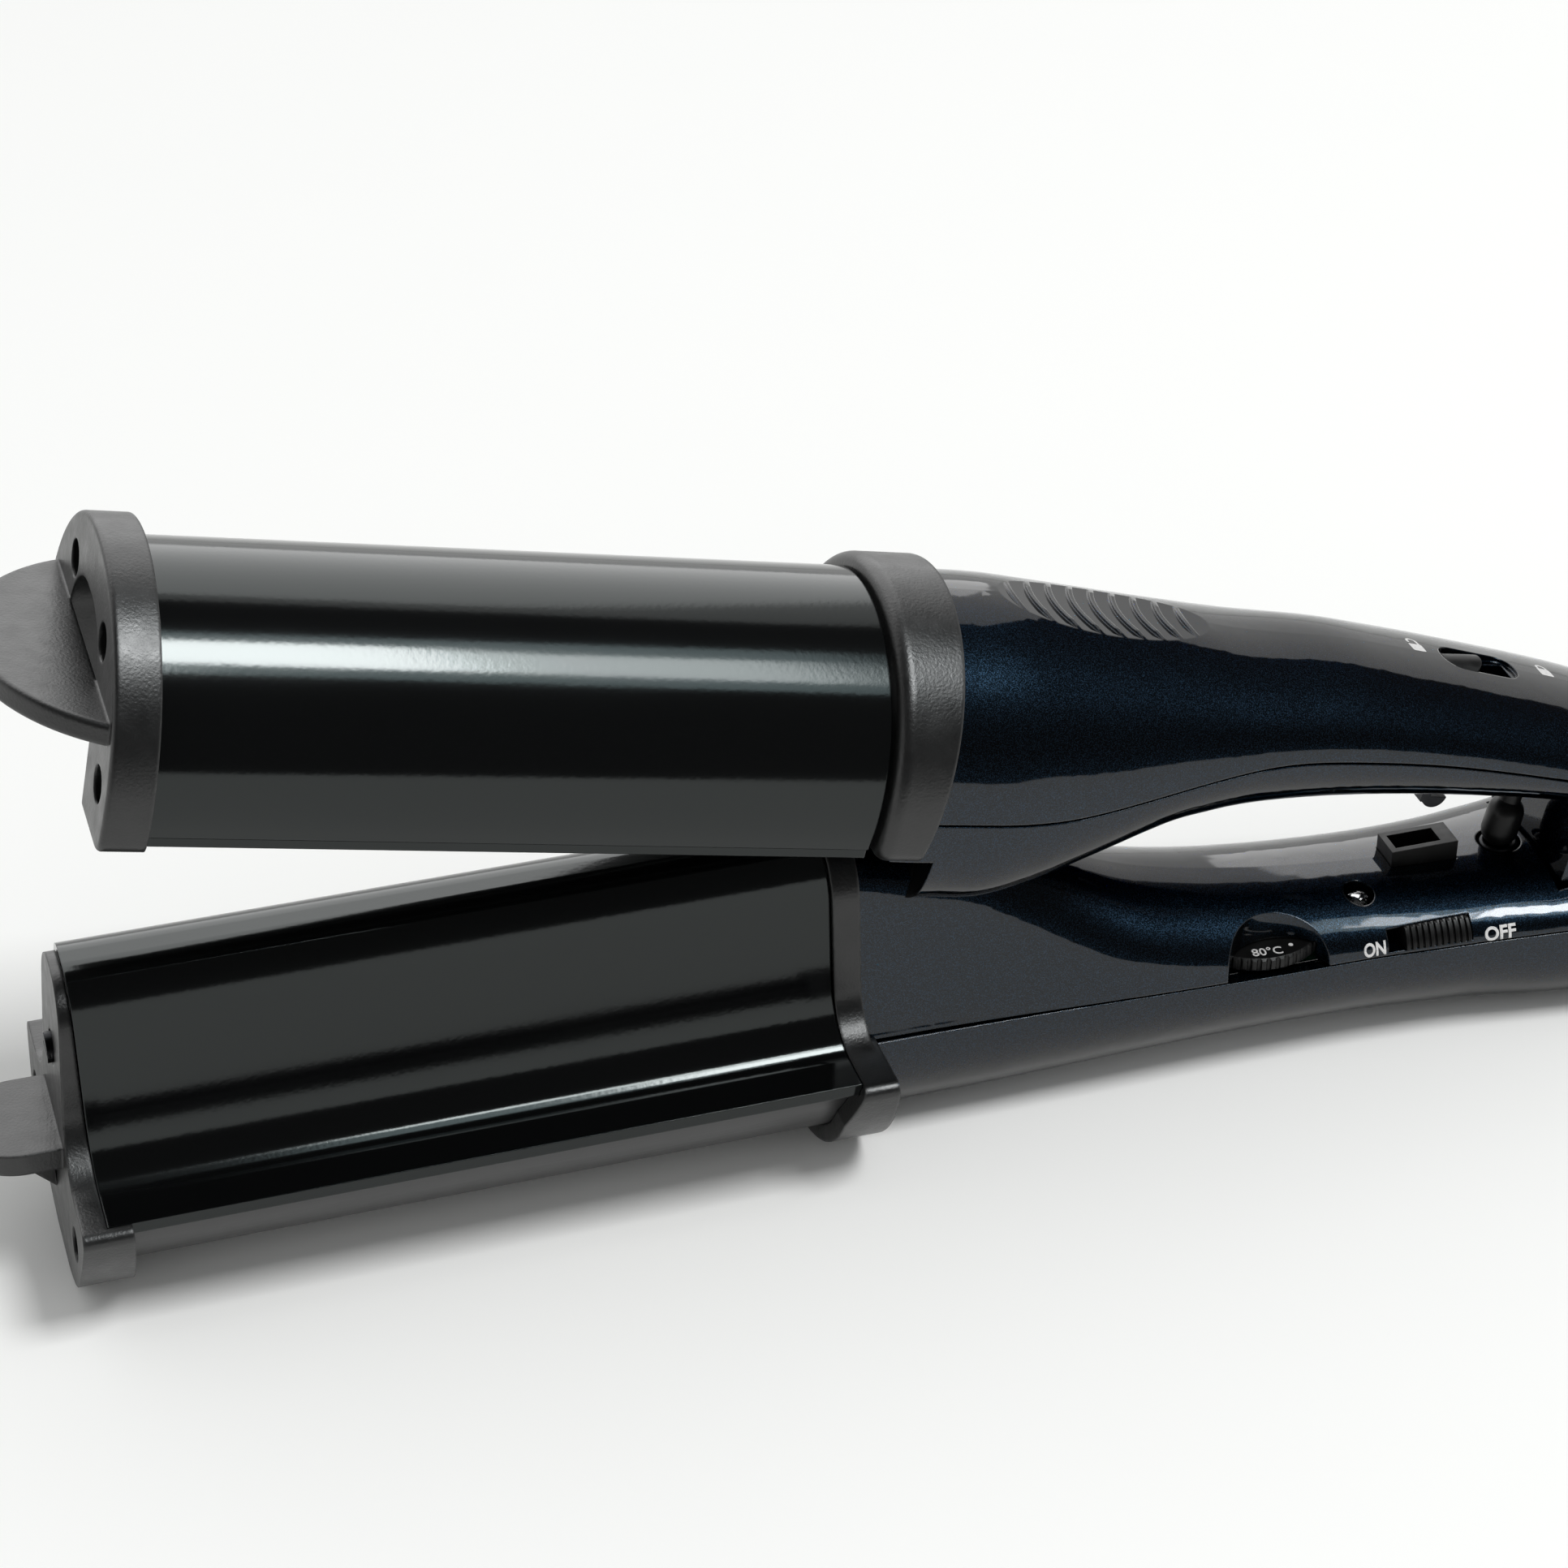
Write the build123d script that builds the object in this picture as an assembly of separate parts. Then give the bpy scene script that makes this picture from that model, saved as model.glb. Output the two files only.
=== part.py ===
from build123d import *
import os
from dataclasses import astuple, dataclass
from math import atan2, cos, pi, radians, sin, sqrt, tan

# Two-arm hair iron in millimetres. X runs along the iron with the heated tip at -X and the tail at +X,
# Z is up, and the origin lies on the table under the middle of the lower collar.
# The upper arm is drawn closed on the lower arm, then swung open about the hinge pin.

# Hinge and opening
OPEN_ANGLE = 12.4
HINGE_X = 114.6
HINGE_Z = 18.5
PIN_RADIUS = 2.0
PIN_RECESS = 0.8
BUSH_WALL = 1.4
BUSH_LENGTH = 6.0
RUNNING_FIT = 0.05
ARM_LENGTH = 205.0
AXIS_RISE = 9.5
SLIDE_GAP = 0.4
SEAT = 0.1

# Lower heated section
TIP_X = -91.8
COLLAR_WIDTH = 6.1
BAND_WIDTH = 3.3
CAP_WIDTH = 6.2
CAP_FACE_DEPTH = 3.5
CAP_LEAN = 4.2
CAP_LEAN_Z = 9.0
BELLY_RADIUS = 22.4
BELLY_Z = 22.0
LIP_Z = 17.0
COVER_RADIUS = 19.0
COVER_Z = 20.5
COVER_WALL = 1.6
PLATE_WALL = 1.4
RIDGE_TOP_Z = 39.8
RIDGE_TOP_HALF = 6.9
RIDGE_FOOT_HALF = 8.6
RIDGE_TOP_RADIUS = 6.3
RIDGE_FOOT_RADIUS = 7.0
PLATE_HALF = 20.0
CAP_STEP = 0.8
BAND_PROUD = 0.8
LIP_ROUND = 1.2
SPREADER_HALF = 5.2
SPREADER_DROP = 18.0
HEATER_WALL = 3.0
HEATER_HEIGHT = 11.0
HEATER_MARGIN = 12.0
BRIDGE_WALL = 2.0
THERMOSTAT_RADIUS = 4.0
THERMOSTAT_WALL = 3.2

# Upper heated section
BARREL_RADIUS = 18.6
BARREL_WALL = 1.4
BARREL_LENGTH = 81.6
LEG_DROP = 5.3
CHANNEL_WALL = 1.2
FLANGE_HALF = 17.4
HAIR_GAP = 1.7
HAIR_GAP_TOP = 2.4
RIM_RADIUS = 20.9
RIM_DROP = 6.5
RIM_CORNER = 2.5
RIM_EDGE = 0.6
UPPER_CAP_WIDTH = 5.0
UPPER_COLLAR_WIDTH = 8.3
UPPER_COLLAR_RADIUS = 20.3
UPPER_COLLAR_EDGE = 1.6
COLLAR_LEAN = 6.5
COLLAR_WEB = 2.0
RING_GAP = 0.6
SPIGOT = 4.0
CORE_SPLIT = 4.0
UPPER_HEATER_WALL = 2.4
UPPER_HEATER_HEIGHT = 7.0
UPPER_HEATER_Y = 14.2
FUSE_RADIUS = 0.7
FUSE_LENGTH = 11.0

# Grip fins
UPPER_FIN_CHORD = 36.0
UPPER_FIN_REACH = 12.3
UPPER_FIN_RISE = 8.25
LOWER_FIN_HALF = 7.2
LOWER_FIN_REACH = 10.5
LOWER_FIN_Z = 19.0
FIN_WALL = 2.7
FIN_EDGE = 0.6
GUSSET_WALL = 2.4
GUSSET_DROP = 7.0

# Handle shells
SHELL_WALL = 2.0
SEAM = 0.3
NEST_GAP = 1.2
OVAL_PULL = 0.58
STATION_STEP = 4.0
CAVITY_END_X = 84.0
NECK_HALF = 9.8
NECK_RADIUS = 13.0
NECK_FRONT = 22.0
NECK_DROP = 3.6
NECK_LAP = 2.0
HOOD_X = 118.0
TAIL_X = 152.0

# Finger recess, lock and latch
RECESS_X = 25.7
RECESS_HALF_LENGTH = 14.5
RECESS_DEPTH = 0.8
RIB_COUNT = 9
RIB_PITCH = 2.8
RIB_WALL = 0.6
RIB_RISE = 0.35
RIB_CURVE = 12.0
LOCK_X = 77.6
LOCK_SLOT_LENGTH = 10.7
LOCK_SLOT_WIDTH = 5.2
LOCK_SLOT_ROUND = 2.3
LOCK_POCKET = 1.3
LOCK_KNOB_LENGTH = 4.9
LOCK_TRAVEL = 3.0
LOCK_PROUD = 0.6
LOCK_CROWN = 2.6
HOOK_WIDTH = 2.4
HOOK_STEM = 1.2
HOOK_AHEAD = 0.7
HOOK_TOE = 2.2
HOOK_TOE_WALL = 1.5
HOOK_TIP_Z = 19.8
LOOP_X = 77.4
LOOP_LENGTH = 8.8
LOOP_WIDTH = 4.4
LOOP_WALL = 0.8
LOOP_BAR = 2.0
LOOP_BAR_WALL = 1.2
LOOP_TOP_Z = 22.8
LOOP_ROOT_Z = 16.6

# Controls
DIAL_X = 54.3
DIAL_RADIUS = 9.0
DIAL_WALL = 1.8
DIAL_TOP_Z = 17.3
DIAL_SINK = 0.5
DIAL_TEETH = 48
DIAL_TOOTH = 0.32
SCOOP_RADIUS = 7.3
SCOOP_OFFSET = 2.9
SWITCH_X = 74.2
SWITCH_Z = 16.6
SWITCH_SLOT_LENGTH = 11.0
SWITCH_SLOT_HEIGHT = 2.6
SWITCH_KNOB_LENGTH = 8.4
SWITCH_TRAVEL = 2.0
SWITCH_PROUD = 0.3
SWITCH_RIBS = 11
SWITCH_RIB_RISE = 0.4
SWITCH_BODY_DEPTH = 5.0
SWITCH_BODY_Y = -2.4
SWITCH_BODY_Z = 16.4
LENS_X = 67.0
LENS_Y = -5.9
LENS_WELL = 1.9
LENS_RADIUS = 1.45
LENS_FLANGE = 1.0
LENS_ROUND = 1.4
LENS_ROOT_Z = 16.8
LED_RADIUS = 1.5
LED_ROUND = 1.2
BOARD_X0 = 41.0
BOARD_X1 = 82.0
BOARD_HALF = 6.4
BOARD_Z = 7.6
BOARD_WALL = 1.6
POT_RADIUS = 4.4
SPINDLE_RADIUS = 1.5
SPINDLE_TOP = 0.8

# Opening plunger and its spring
PLUNGER_X = 88.4
PLUNGER_RADIUS = 2.3
PLUNGER_NECK = 1.4
PLUNGER_LENGTH = 7.0
PLUNGER_TIP_Z = 14.0
WELL_RADIUS = 2.8
WELL_FLOOR_Z = 3.0
SPRING_WIRE = 0.35
SPRING_TURNS = 7

# Cord gland and screws
GLAND_RADIUS = 4.6
GLAND_BORE = 3.3
GLAND_SEAT = 6.0
GLAND_PROUD = 6.0
GLAND_FLANGE = 1.6
SCREW_HOLE = 2.1
SCREW_HEAD = 1.8
SCREW_SHANK = 1.1
SCREW_HEAD_WALL = 1.3
SCREW_SEAT = 1.5
SLIT_WALL = 0.6
SLIT_DEPTH = 0.5
SCREW_LENGTH = 7.0
BOSS_RADIUS = 3.2
CAP_SCREW_REACH = 15.9
CAP_SCREW_ANGLES = (0.0, 55.0)
LOWER_SCREW_Y = 15.0
LOWER_SCREW_Z = 11.5
RIDGE_SCREW_Z = 28.0
LOWER_HANDLE_SCREW_X = (22.0, 134.0)
UPPER_HANDLE_SCREW_X = (46.0, 66.0)

# Places that follow from the sizes above
AXIS_Z = HINGE_Z + AXIS_RISE
UPPER_TIP_X = HINGE_X - ARM_LENGTH
COLLAR_X0 = -COLLAR_WIDTH / 2
COLLAR_X1 = COLLAR_WIDTH / 2
COLLAR_FACE_X = COLLAR_X0 + COLLAR_WIDTH / 3
PLATE_X0 = TIP_X + CAP_FACE_DEPTH
PLATE_X1 = COLLAR_FACE_X - SEAT
BARREL_X0 = UPPER_TIP_X + UPPER_CAP_WIDTH
BARREL_X1 = BARREL_X0 + BARREL_LENGTH
RING_X0 = BARREL_X1 + RING_GAP
RING_X1 = RING_X0 + UPPER_COLLAR_WIDTH
LEG_Z = AXIS_Z - LEG_DROP
FLANGE_Z = LEG_Z - SEAT
RIM_Z = AXIS_Z - RIM_DROP
NECK_Z = HINGE_Z - NECK_DROP
NECK_SWEEP = sqrt(NECK_FRONT**2 + NECK_DROP**2)
HINGE_AXIS = Axis((HINGE_X, 0, HINGE_Z), (0, 1, 0))
FAR = 300.0


@dataclass
class Section:
    """One cross-section of a handle, square to X.

    The outline is four Bezier quarters that meet at the parting line and on the centre plane. waist, rise
    and crown shape the upper quarters: a small waist gives a bell, a waist of half_width gives an oval.
    """

    x: float
    half_width: float
    part_z: float
    top_z: float
    bottom_z: float
    waist: float
    rise: float
    crown: float
    belly: float = 0.6

    def face(self, inset=0.0):
        """The section as a face, pulled in by inset on every side."""
        half = self.half_width - inset
        waist = self.waist - inset
        crown = self.crown - inset
        top = self.top_z - inset
        bottom = self.bottom_z + inset
        shoulder = self.part_z + self.rise * (top - self.part_z)
        hip = self.part_z - self.belly * (self.part_z - bottom)
        keel = self.belly * half
        quarters = [
            Bezier((-half, self.part_z), (-waist, shoulder), (-crown, top), (0, top)),
            Bezier((0, top), (crown, top), (waist, shoulder), (half, self.part_z)),
            Bezier((half, self.part_z), (half, hip), (keel, bottom), (0, bottom)),
            Bezier((0, bottom), (-keel, bottom), (-half, hip), (-half, self.part_z)),
        ]
        return station(self.x) * make_face(quarters)


def oval(x, half_width, part_z, top_z, bottom_z, belly=0.6):
    """A handle section with plain oval upper quarters."""
    crown = OVAL_PULL * half_width
    return Section(x, half_width, part_z, top_z, bottom_z, half_width, OVAL_PULL, crown, belly)


LOWER_SECTIONS = [
    Section(COLLAR_FACE_X + SEAT, 12.6, 16.7, 38.6, 0.9, 5.0, 0.06, 11.0),
    Section(14.0, 12.6, 16.6, 37.0, 0.9, 5.6, 0.08, 11.0),
    Section(27.0, 12.5, 16.3, 31.6, 1.2, 9.0, 0.25, 9.4),
    oval(40.0, 12.3, 15.7, 26.2, 1.6),
    oval(52.0, 12.1, 15.2, 23.4, 1.8),
    oval(66.0, 12.0, 14.9, 21.5, 1.4),
    oval(80.0, 12.6, 14.7, 20.4, 0.5),
    oval(92.0, 14.0, 15.0, 20.2, 0.0, 0.68),
    oval(104.0, 15.4, 15.4, 24.0, 0.0, 0.72),
    oval(116.0, 16.2, 16.0, 33.6, 0.0, 0.72),
    oval(130.0, 15.0, 16.5, 32.6, 0.8, 0.68),
    oval(TAIL_X, 9.5, 17.0, 26.0, 8.0),
]

UPPER_SECTIONS = [
    oval(RING_X0, 18.7, 26.3, 46.8, 11.5, 0.8),
    oval(12.0, 18.6, 26.6, 46.5, 12.0, 0.8),
    oval(20.0, 18.0, 27.1, 45.8, 14.5, 0.76),
    oval(28.0, 17.0, 28.7, 44.9, 18.0, 0.7),
    oval(37.0, 15.7, 30.9, 43.9, 21.0),
    oval(47.0, 14.7, 33.0, 42.8, 23.0),
    oval(57.0, 14.0, 33.3, 42.4, 24.0),
    oval(67.0, 13.6, 33.0, 41.2, 24.5),
    oval(80.0, 13.2, 31.8, 39.3, 24.7),
    oval(94.0, 12.8, 30.0, 36.9, 24.3),
    oval(104.0, NECK_HALF, 28.4, 34.5, 23.6),
]


def station(x):
    """The plane square to the iron at x, with its own x along Y and its own y up."""
    return Plane(origin=(x, 0, 0), x_dir=(0, 1, 0), z_dir=(1, 0, 0))


def along(face, x0, x1):
    """Extrude a face drawn in Y and Z from x0 to x1."""
    return extrude(station(x0) * face, x1 - x0)


def across(face, y0, y1):
    """Extrude a face drawn in X and Z from y0 to y1."""
    return extrude(Plane(origin=(0, y1, 0), x_dir=(1, 0, 0), z_dir=(0, -1, 0)) * face, y1 - y0)


def upright(face, z0, z1):
    """Extrude a face drawn in X and Y from z0 to z1."""
    return extrude(Plane.XY.offset(z0) * face, z1 - z0)


def rect(x0, y0, x1, y1):
    """A rectangle between two corners."""
    return Pos((x0 + x1) / 2, (y0 + y1) / 2) * Rectangle(abs(x1 - x0), abs(y1 - y0))


def disc(x, y, radius):
    """A round face about a point."""
    return Pos(x, y) * Circle(radius)


def polygon(*points):
    """A straight-sided face through the points."""
    return make_face(Polyline(*points, close=True))


def block(x0, y0, z0, x1, y1, z1):
    """A box between two corners."""
    return upright(rect(x0, y0, x1, y1), z0, z1)


def swung(shape):
    """The shape turned open about the hinge pin, tip upwards."""
    return shape.rotate(HINGE_AXIS, OPEN_ANGLE)


def bell(grow, top_grow, foot_z, half):
    """Everything under the ridge's bell curve down to the table, grown on its sides and top."""
    top_z = RIDGE_TOP_Z + top_grow
    lean = (RIDGE_FOOT_HALF - RIDGE_TOP_HALF) / (RIDGE_TOP_Z - LIP_Z)
    top_half = RIDGE_TOP_HALF + grow - lean * top_grow
    foot_half = RIDGE_FOOT_HALF + grow + lean * (LIP_Z - foot_z)
    crest = RIDGE_TOP_RADIUS + grow
    foot = RIDGE_FOOT_RADIUS - grow
    curve = FilletPolyline(
        (-half, foot_z),
        (-foot_half, foot_z),
        (-top_half, top_z),
        (top_half, top_z),
        (foot_half, foot_z),
        (half, foot_z),
        radius=[foot, crest, crest, foot],
    )
    base = Polyline((-half, foot_z), (-half, 0), (half, 0), (half, foot_z))
    return make_face([curve.edges(), base.edges()])


def belly():
    """The round lower half of the lower cap and collar, with its flat foot on the table."""
    face = disc(0, BELLY_Z, BELLY_RADIUS) & rect(-BELLY_RADIUS, 0, BELLY_RADIUS, LIP_Z)
    return fillet(face.vertices().sort_by(Axis.Y)[-2:], LIP_ROUND)


def plate_space():
    """The region that the lower plate's flange and the cover fill, with a seat round it."""
    flange = rect(-PLATE_HALF - SEAT, LIP_Z - PLATE_WALL - SEAT, PLATE_HALF + SEAT, FAR)
    return disc(0, COVER_Z, COVER_RADIUS + SEAT) + flange


def rim(radius):
    """The round rim of the upper cap or collar, cut flat below with rounded corners."""
    face = disc(0, AXIS_Z, radius) & rect(-radius, RIM_Z, radius, FAR)
    return fillet(face.vertices(), RIM_CORNER)


def rounded_front(shape, radius):
    """The shape with the edges of its face towards the tip rounded."""
    return fillet(shape.faces().sort_by(Axis.X)[0].edges(), radius)


def channel(grow, foot_z):
    """The channel that takes the ridge and the hair round it, grown and flared out at foot_z."""
    return bell(HAIR_GAP + grow, HAIR_GAP_TOP + grow, foot_z, BELLY_RADIUS)


def slope(places, values, k):
    """Slope at knot k of a smooth curve through the values that never overshoots them."""
    last = len(places) - 1
    steps = [(values[i + 1] - values[i]) / (places[i + 1] - places[i]) for i in range(last)]
    if k in (0, last):
        return steps[min(k, last - 1)]
    back, ahead = steps[k - 1], steps[k]
    return 2 * back * ahead / (back + ahead) if back * ahead > 0 else 0.0


def blended(sections, x):
    """The handle's section at x, on smooth curves through the listed ones."""
    places = [section.x for section in sections]
    k = max([0] + [i for i in range(len(places) - 1) if places[i] <= x])
    span = places[k + 1] - places[k]
    t = (x - places[k]) / span
    fields = []
    for values in zip(*[astuple(section) for section in sections]):
        rise = span * ((t**3 - 2 * t**2 + t) * slope(places, values, k))
        rise += span * ((t**3 - t**2) * slope(places, values, k + 1))
        fields.append((2 * t**3 - 3 * t**2 + 1) * values[k] + (3 * t**2 - 2 * t**3) * values[k + 1] + rise)
    return Section(*fields)


def body(sections, inset=0.0):
    """A handle's whole outline as one smooth solid, pulled in by inset."""
    x0 = sections[0].x + inset
    x1 = sections[-1].x - inset
    count = round((x1 - x0) / STATION_STEP)
    places = [x0 + (x1 - x0) * i / count for i in range(count + 1)]
    return loft([blended(sections, x).face(inset) for x in places])


def sleeve(sections, x0, x1):
    """A short stretch of a handle's outline with a seat round it, to cut a collar's bore."""
    return loft([blended(sections, x).face(-SEAT) for x in (x0, (x0 + x1) / 2, x1)])


def below_parting(sections, shift):
    """Everything under a handle's parting line, moved up by shift."""
    points = [(section.x, section.part_z + shift) for section in sections]
    first = (points[0][0] - FAR, points[0][1])
    last = (points[-1][0] + FAR, points[-1][1])
    outline = [
        Line(first, points[0]),
        Spline(points),
        Line(points[-1], last),
        Polyline(last, (last[0], -FAR), (first[0], -FAR), first),
    ]
    return across(make_face([edge.edges() for edge in outline]), -FAR, FAR)


def half_width_at(sections, x, z):
    """Half-width of a handle's upper quarter at x and z, taken as an ellipse."""
    here = blended(sections, x)
    share = (z - here.part_z) / (here.top_z - here.part_z)
    return here.half_width * sqrt(1 - share**2)


def tip_screws(places, seat_x):
    """Pan-head screws along +X with their heads seated at seat_x."""
    screws = []
    for y, z in places:
        head = along(disc(y, z, SCREW_HEAD), seat_x - SCREW_HEAD_WALL, seat_x)
        slit = rect(y - SCREW_HEAD, z - SLIT_WALL / 2, y + SCREW_HEAD, z + SLIT_WALL / 2)
        head -= along(slit, seat_x - FAR, seat_x - SCREW_HEAD_WALL + SLIT_DEPTH)
        screws.append(head + along(disc(y, z, SCREW_SHANK), seat_x, seat_x + SCREW_LENGTH))
    return screws


def tip_holes(places, seat_x):
    """Counterbored holes for tip screws, open towards -X."""
    holes = []
    for y, z in places:
        holes.append(along(disc(y, z, SCREW_HOLE), seat_x - FAR, seat_x))
        holes.append(along(disc(y, z, SCREW_SHANK + RUNNING_FIT), seat_x - SEAT, seat_x + FAR))
    return holes


def lower_rim(grow):
    """The full outline of the lower cap or collar: the round belly with the ridge on top."""
    ridge = bell(grow, grow, LIP_Z, PLATE_HALF - LIP_ROUND)
    return belly() + (ridge & rect(-FAR, LIP_Z - PLATE_WALL, FAR, FAR))


# Lower heated section


def lower_plate():
    """Glossy bell-shaped plate with a flange along each side."""
    strip = bell(0, 0, LIP_Z, PLATE_HALF) - bell(-PLATE_WALL, -PLATE_WALL, LIP_Z - PLATE_WALL, BELLY_RADIUS)
    return along(strip, PLATE_X0, PLATE_X1)


def lower_screw_places():
    """Where the lower cap's screws sit, as Y and Z."""
    return [(-LOWER_SCREW_Y, LOWER_SCREW_Z), (LOWER_SCREW_Y, LOWER_SCREW_Z), (0, RIDGE_SCREW_Z)]


def lower_seat_x():
    """Where the heads of the lower cap's screws seat."""
    return PLATE_X0 - SCREW_SEAT


def lower_cover():
    """Matte half-round cover under the plate, with a boss for each cap screw."""
    below = rect(-COVER_RADIUS, 0, COVER_RADIUS, LIP_Z - PLATE_WALL - SEAT)
    outside = disc(0, COVER_Z, COVER_RADIUS) & below
    cover = along(outside - disc(0, COVER_Z, COVER_RADIUS - COVER_WALL), PLATE_X0, PLATE_X1)
    for y, z in lower_screw_places()[:2]:
        cover += along(disc(y, z, BOSS_RADIUS) & outside, PLATE_X0, PLATE_X0 + SCREW_LENGTH)
        cover -= along(disc(y, z, SCREW_SHANK + RUNNING_FIT), PLATE_X0, PLATE_X0 + SCREW_LENGTH)
    return cover


def lower_end_cap():
    """Tip cap of the lower arm: leaning face, skirt round the cover and a rounded grip fin."""
    cap = along(lower_rim(-CAP_STEP), TIP_X, PLATE_X0 - SEAT)
    cap += along(belly() - plate_space(), PLATE_X0 - SEAT, TIP_X + CAP_WIDTH)
    reach = (RIDGE_TOP_Z - CAP_LEAN_Z) * tan(radians(CAP_LEAN))
    lean = polygon((TIP_X, CAP_LEAN_Z), (TIP_X, RIDGE_TOP_Z), (TIP_X + reach, RIDGE_TOP_Z))
    cap -= across(lean, -FAR, FAR)
    fin_x = TIP_X - LOWER_FIN_REACH + LOWER_FIN_HALF
    root_x = TIP_X + CAP_FACE_DEPTH / 2
    plan = rect(fin_x, -LOWER_FIN_HALF, root_x, LOWER_FIN_HALF) + disc(fin_x, 0, LOWER_FIN_HALF)
    plan &= rect(TIP_X - LOWER_FIN_REACH, -LOWER_FIN_HALF, root_x, LOWER_FIN_HALF)
    cap += upright(plan, LOWER_FIN_Z - FIN_WALL, LOWER_FIN_Z)
    fin_foot = LOWER_FIN_Z - FIN_WALL
    web = polygon((TIP_X, fin_foot - GUSSET_DROP), (TIP_X, fin_foot), (TIP_X - GUSSET_DROP, fin_foot))
    cap += across(web, -GUSSET_WALL / 2, GUSSET_WALL / 2)
    return cap - tip_holes(lower_screw_places(), lower_seat_x())


def lower_collar():
    """Collar between the lower heated section and the handle."""
    collar = along(lower_rim(BAND_PROUD), COLLAR_FACE_X, COLLAR_FACE_X + BAND_WIDTH)
    collar += along(belly(), COLLAR_FACE_X, COLLAR_X1)
    collar -= sleeve(LOWER_SECTIONS, COLLAR_FACE_X - SEAT, COLLAR_X1 + SEAT)
    collar += along(belly() - plate_space(), COLLAR_X0, COLLAR_FACE_X)
    slant = polygon((COLLAR_X0, LIP_Z), (COLLAR_FACE_X, LIP_Z), (COLLAR_X0, BELLY_Z / 2))
    return collar - across(slant, -FAR, FAR)


def lower_inner_x():
    """Ends of what lies inside the lower heated section."""
    return PLATE_X0 + SEAT, PLATE_X1 - SEAT


def spreader_floor_z():
    """Underside of the lower heat spreader, which stands on the carrier's bridge."""
    return LIP_Z - PLATE_WALL - SEAT


def heater_z():
    """Lowest and highest edge of the lower heater."""
    middle = spreader_floor_z() + SPREADER_DROP / 2 + BRIDGE_WALL
    return middle - HEATER_HEIGHT / 2, middle + HEATER_HEIGHT / 2


def lower_heat_spreader():
    """Aluminium bar that fills the ridge and holds the heater in a slot."""
    x0, x1 = lower_inner_x()
    shrink = -PLATE_WALL - SEAT
    dome = bell(shrink, shrink, spreader_floor_z(), BELLY_RADIUS)
    bar = dome & rect(-SPREADER_HALF, spreader_floor_z(), SPREADER_HALF, FAR)
    z0, z1 = heater_z()
    half = HEATER_WALL / 2 + RUNNING_FIT
    slot = block(x0 + HEATER_MARGIN, -half, z0 - RUNNING_FIT, x1, half, z1 + RUNNING_FIT)
    pilot = along(disc(0, RIDGE_SCREW_Z, SCREW_SHANK + RUNNING_FIT), x0, x0 + SCREW_LENGTH)
    return along(bar, x0, x1) - slot - pilot


def lower_heater():
    """Flat ceramic heater in the spreader's slot."""
    x0, x1 = lower_inner_x()
    z0, z1 = heater_z()
    return block(x0 + HEATER_MARGIN + SEAT, -HEATER_WALL / 2, z0, x1, HEATER_WALL / 2, z1)


def lower_carrier():
    """Frame inside the cover: two half-round ends under a flat bridge."""
    x0, x1 = lower_inner_x()
    top = spreader_floor_z() - SEAT
    outside = disc(0, COVER_Z, COVER_RADIUS - COVER_WALL - SEAT) & rect(-FAR, 0, FAR, top)
    clear = SCREW_LENGTH + SEAT
    carrier = along(outside & rect(-FAR, top - BRIDGE_WALL, FAR, top), x0 + clear, x1)
    for start in (x0 + clear, x1 - BRIDGE_WALL):
        carrier += along(outside, start, start + BRIDGE_WALL)
    return carrier


def lower_thermostat():
    """Round cut-out switch under the carrier's bridge."""
    x0, x1 = lower_inner_x()
    top = spreader_floor_z() - SEAT - BRIDGE_WALL
    return upright(disc((x0 + x1) / 2, 0, THERMOSTAT_RADIUS), top - THERMOSTAT_WALL, top)


def lower_cap_screws():
    """The three screws of the lower cap."""
    return Compound(tip_screws(lower_screw_places(), lower_seat_x()))


# Lower handle


def dial_y():
    """Y of the dial's axis, which leaves its near edge a little inside the handle."""
    return -(blended(LOWER_SECTIONS, DIAL_X).half_width - DIAL_SINK - DIAL_RADIUS)


def scoop(radius):
    """A round face in plan about the axis of the dial's window."""
    return disc(DIAL_X, -(blended(LOWER_SECTIONS, DIAL_X).half_width + SCOOP_OFFSET), radius)


def scoop_foot_z():
    """Lower edge of the wall behind the dial's window, just over the dial."""
    return DIAL_TOP_Z + SLIDE_GAP / 2


def dial_window():
    """The window over the dial and the room that it turns in, to cut from the upper half alone."""
    pocket = disc(DIAL_X, dial_y(), DIAL_RADIUS + SLIDE_GAP)
    return upright(scoop(SCOOP_RADIUS), 0, FAR) + upright(pocket, 0, scoop_foot_z())


def well_x():
    """Axis of the spring well, between the plunger's open and closed places."""
    return PLUNGER_X + SEAT


def loop_span():
    """Both ends of the latch loop along X."""
    return LOOP_X - LOOP_LENGTH / 2, LOOP_X + LOOP_LENGTH / 2


def screw_seat_z(x):
    """Where the head of a lower handle screw seats."""
    return blended(LOWER_SECTIONS, x).bottom_z + SCREW_SEAT + SCREW_HEAD_WALL


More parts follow.
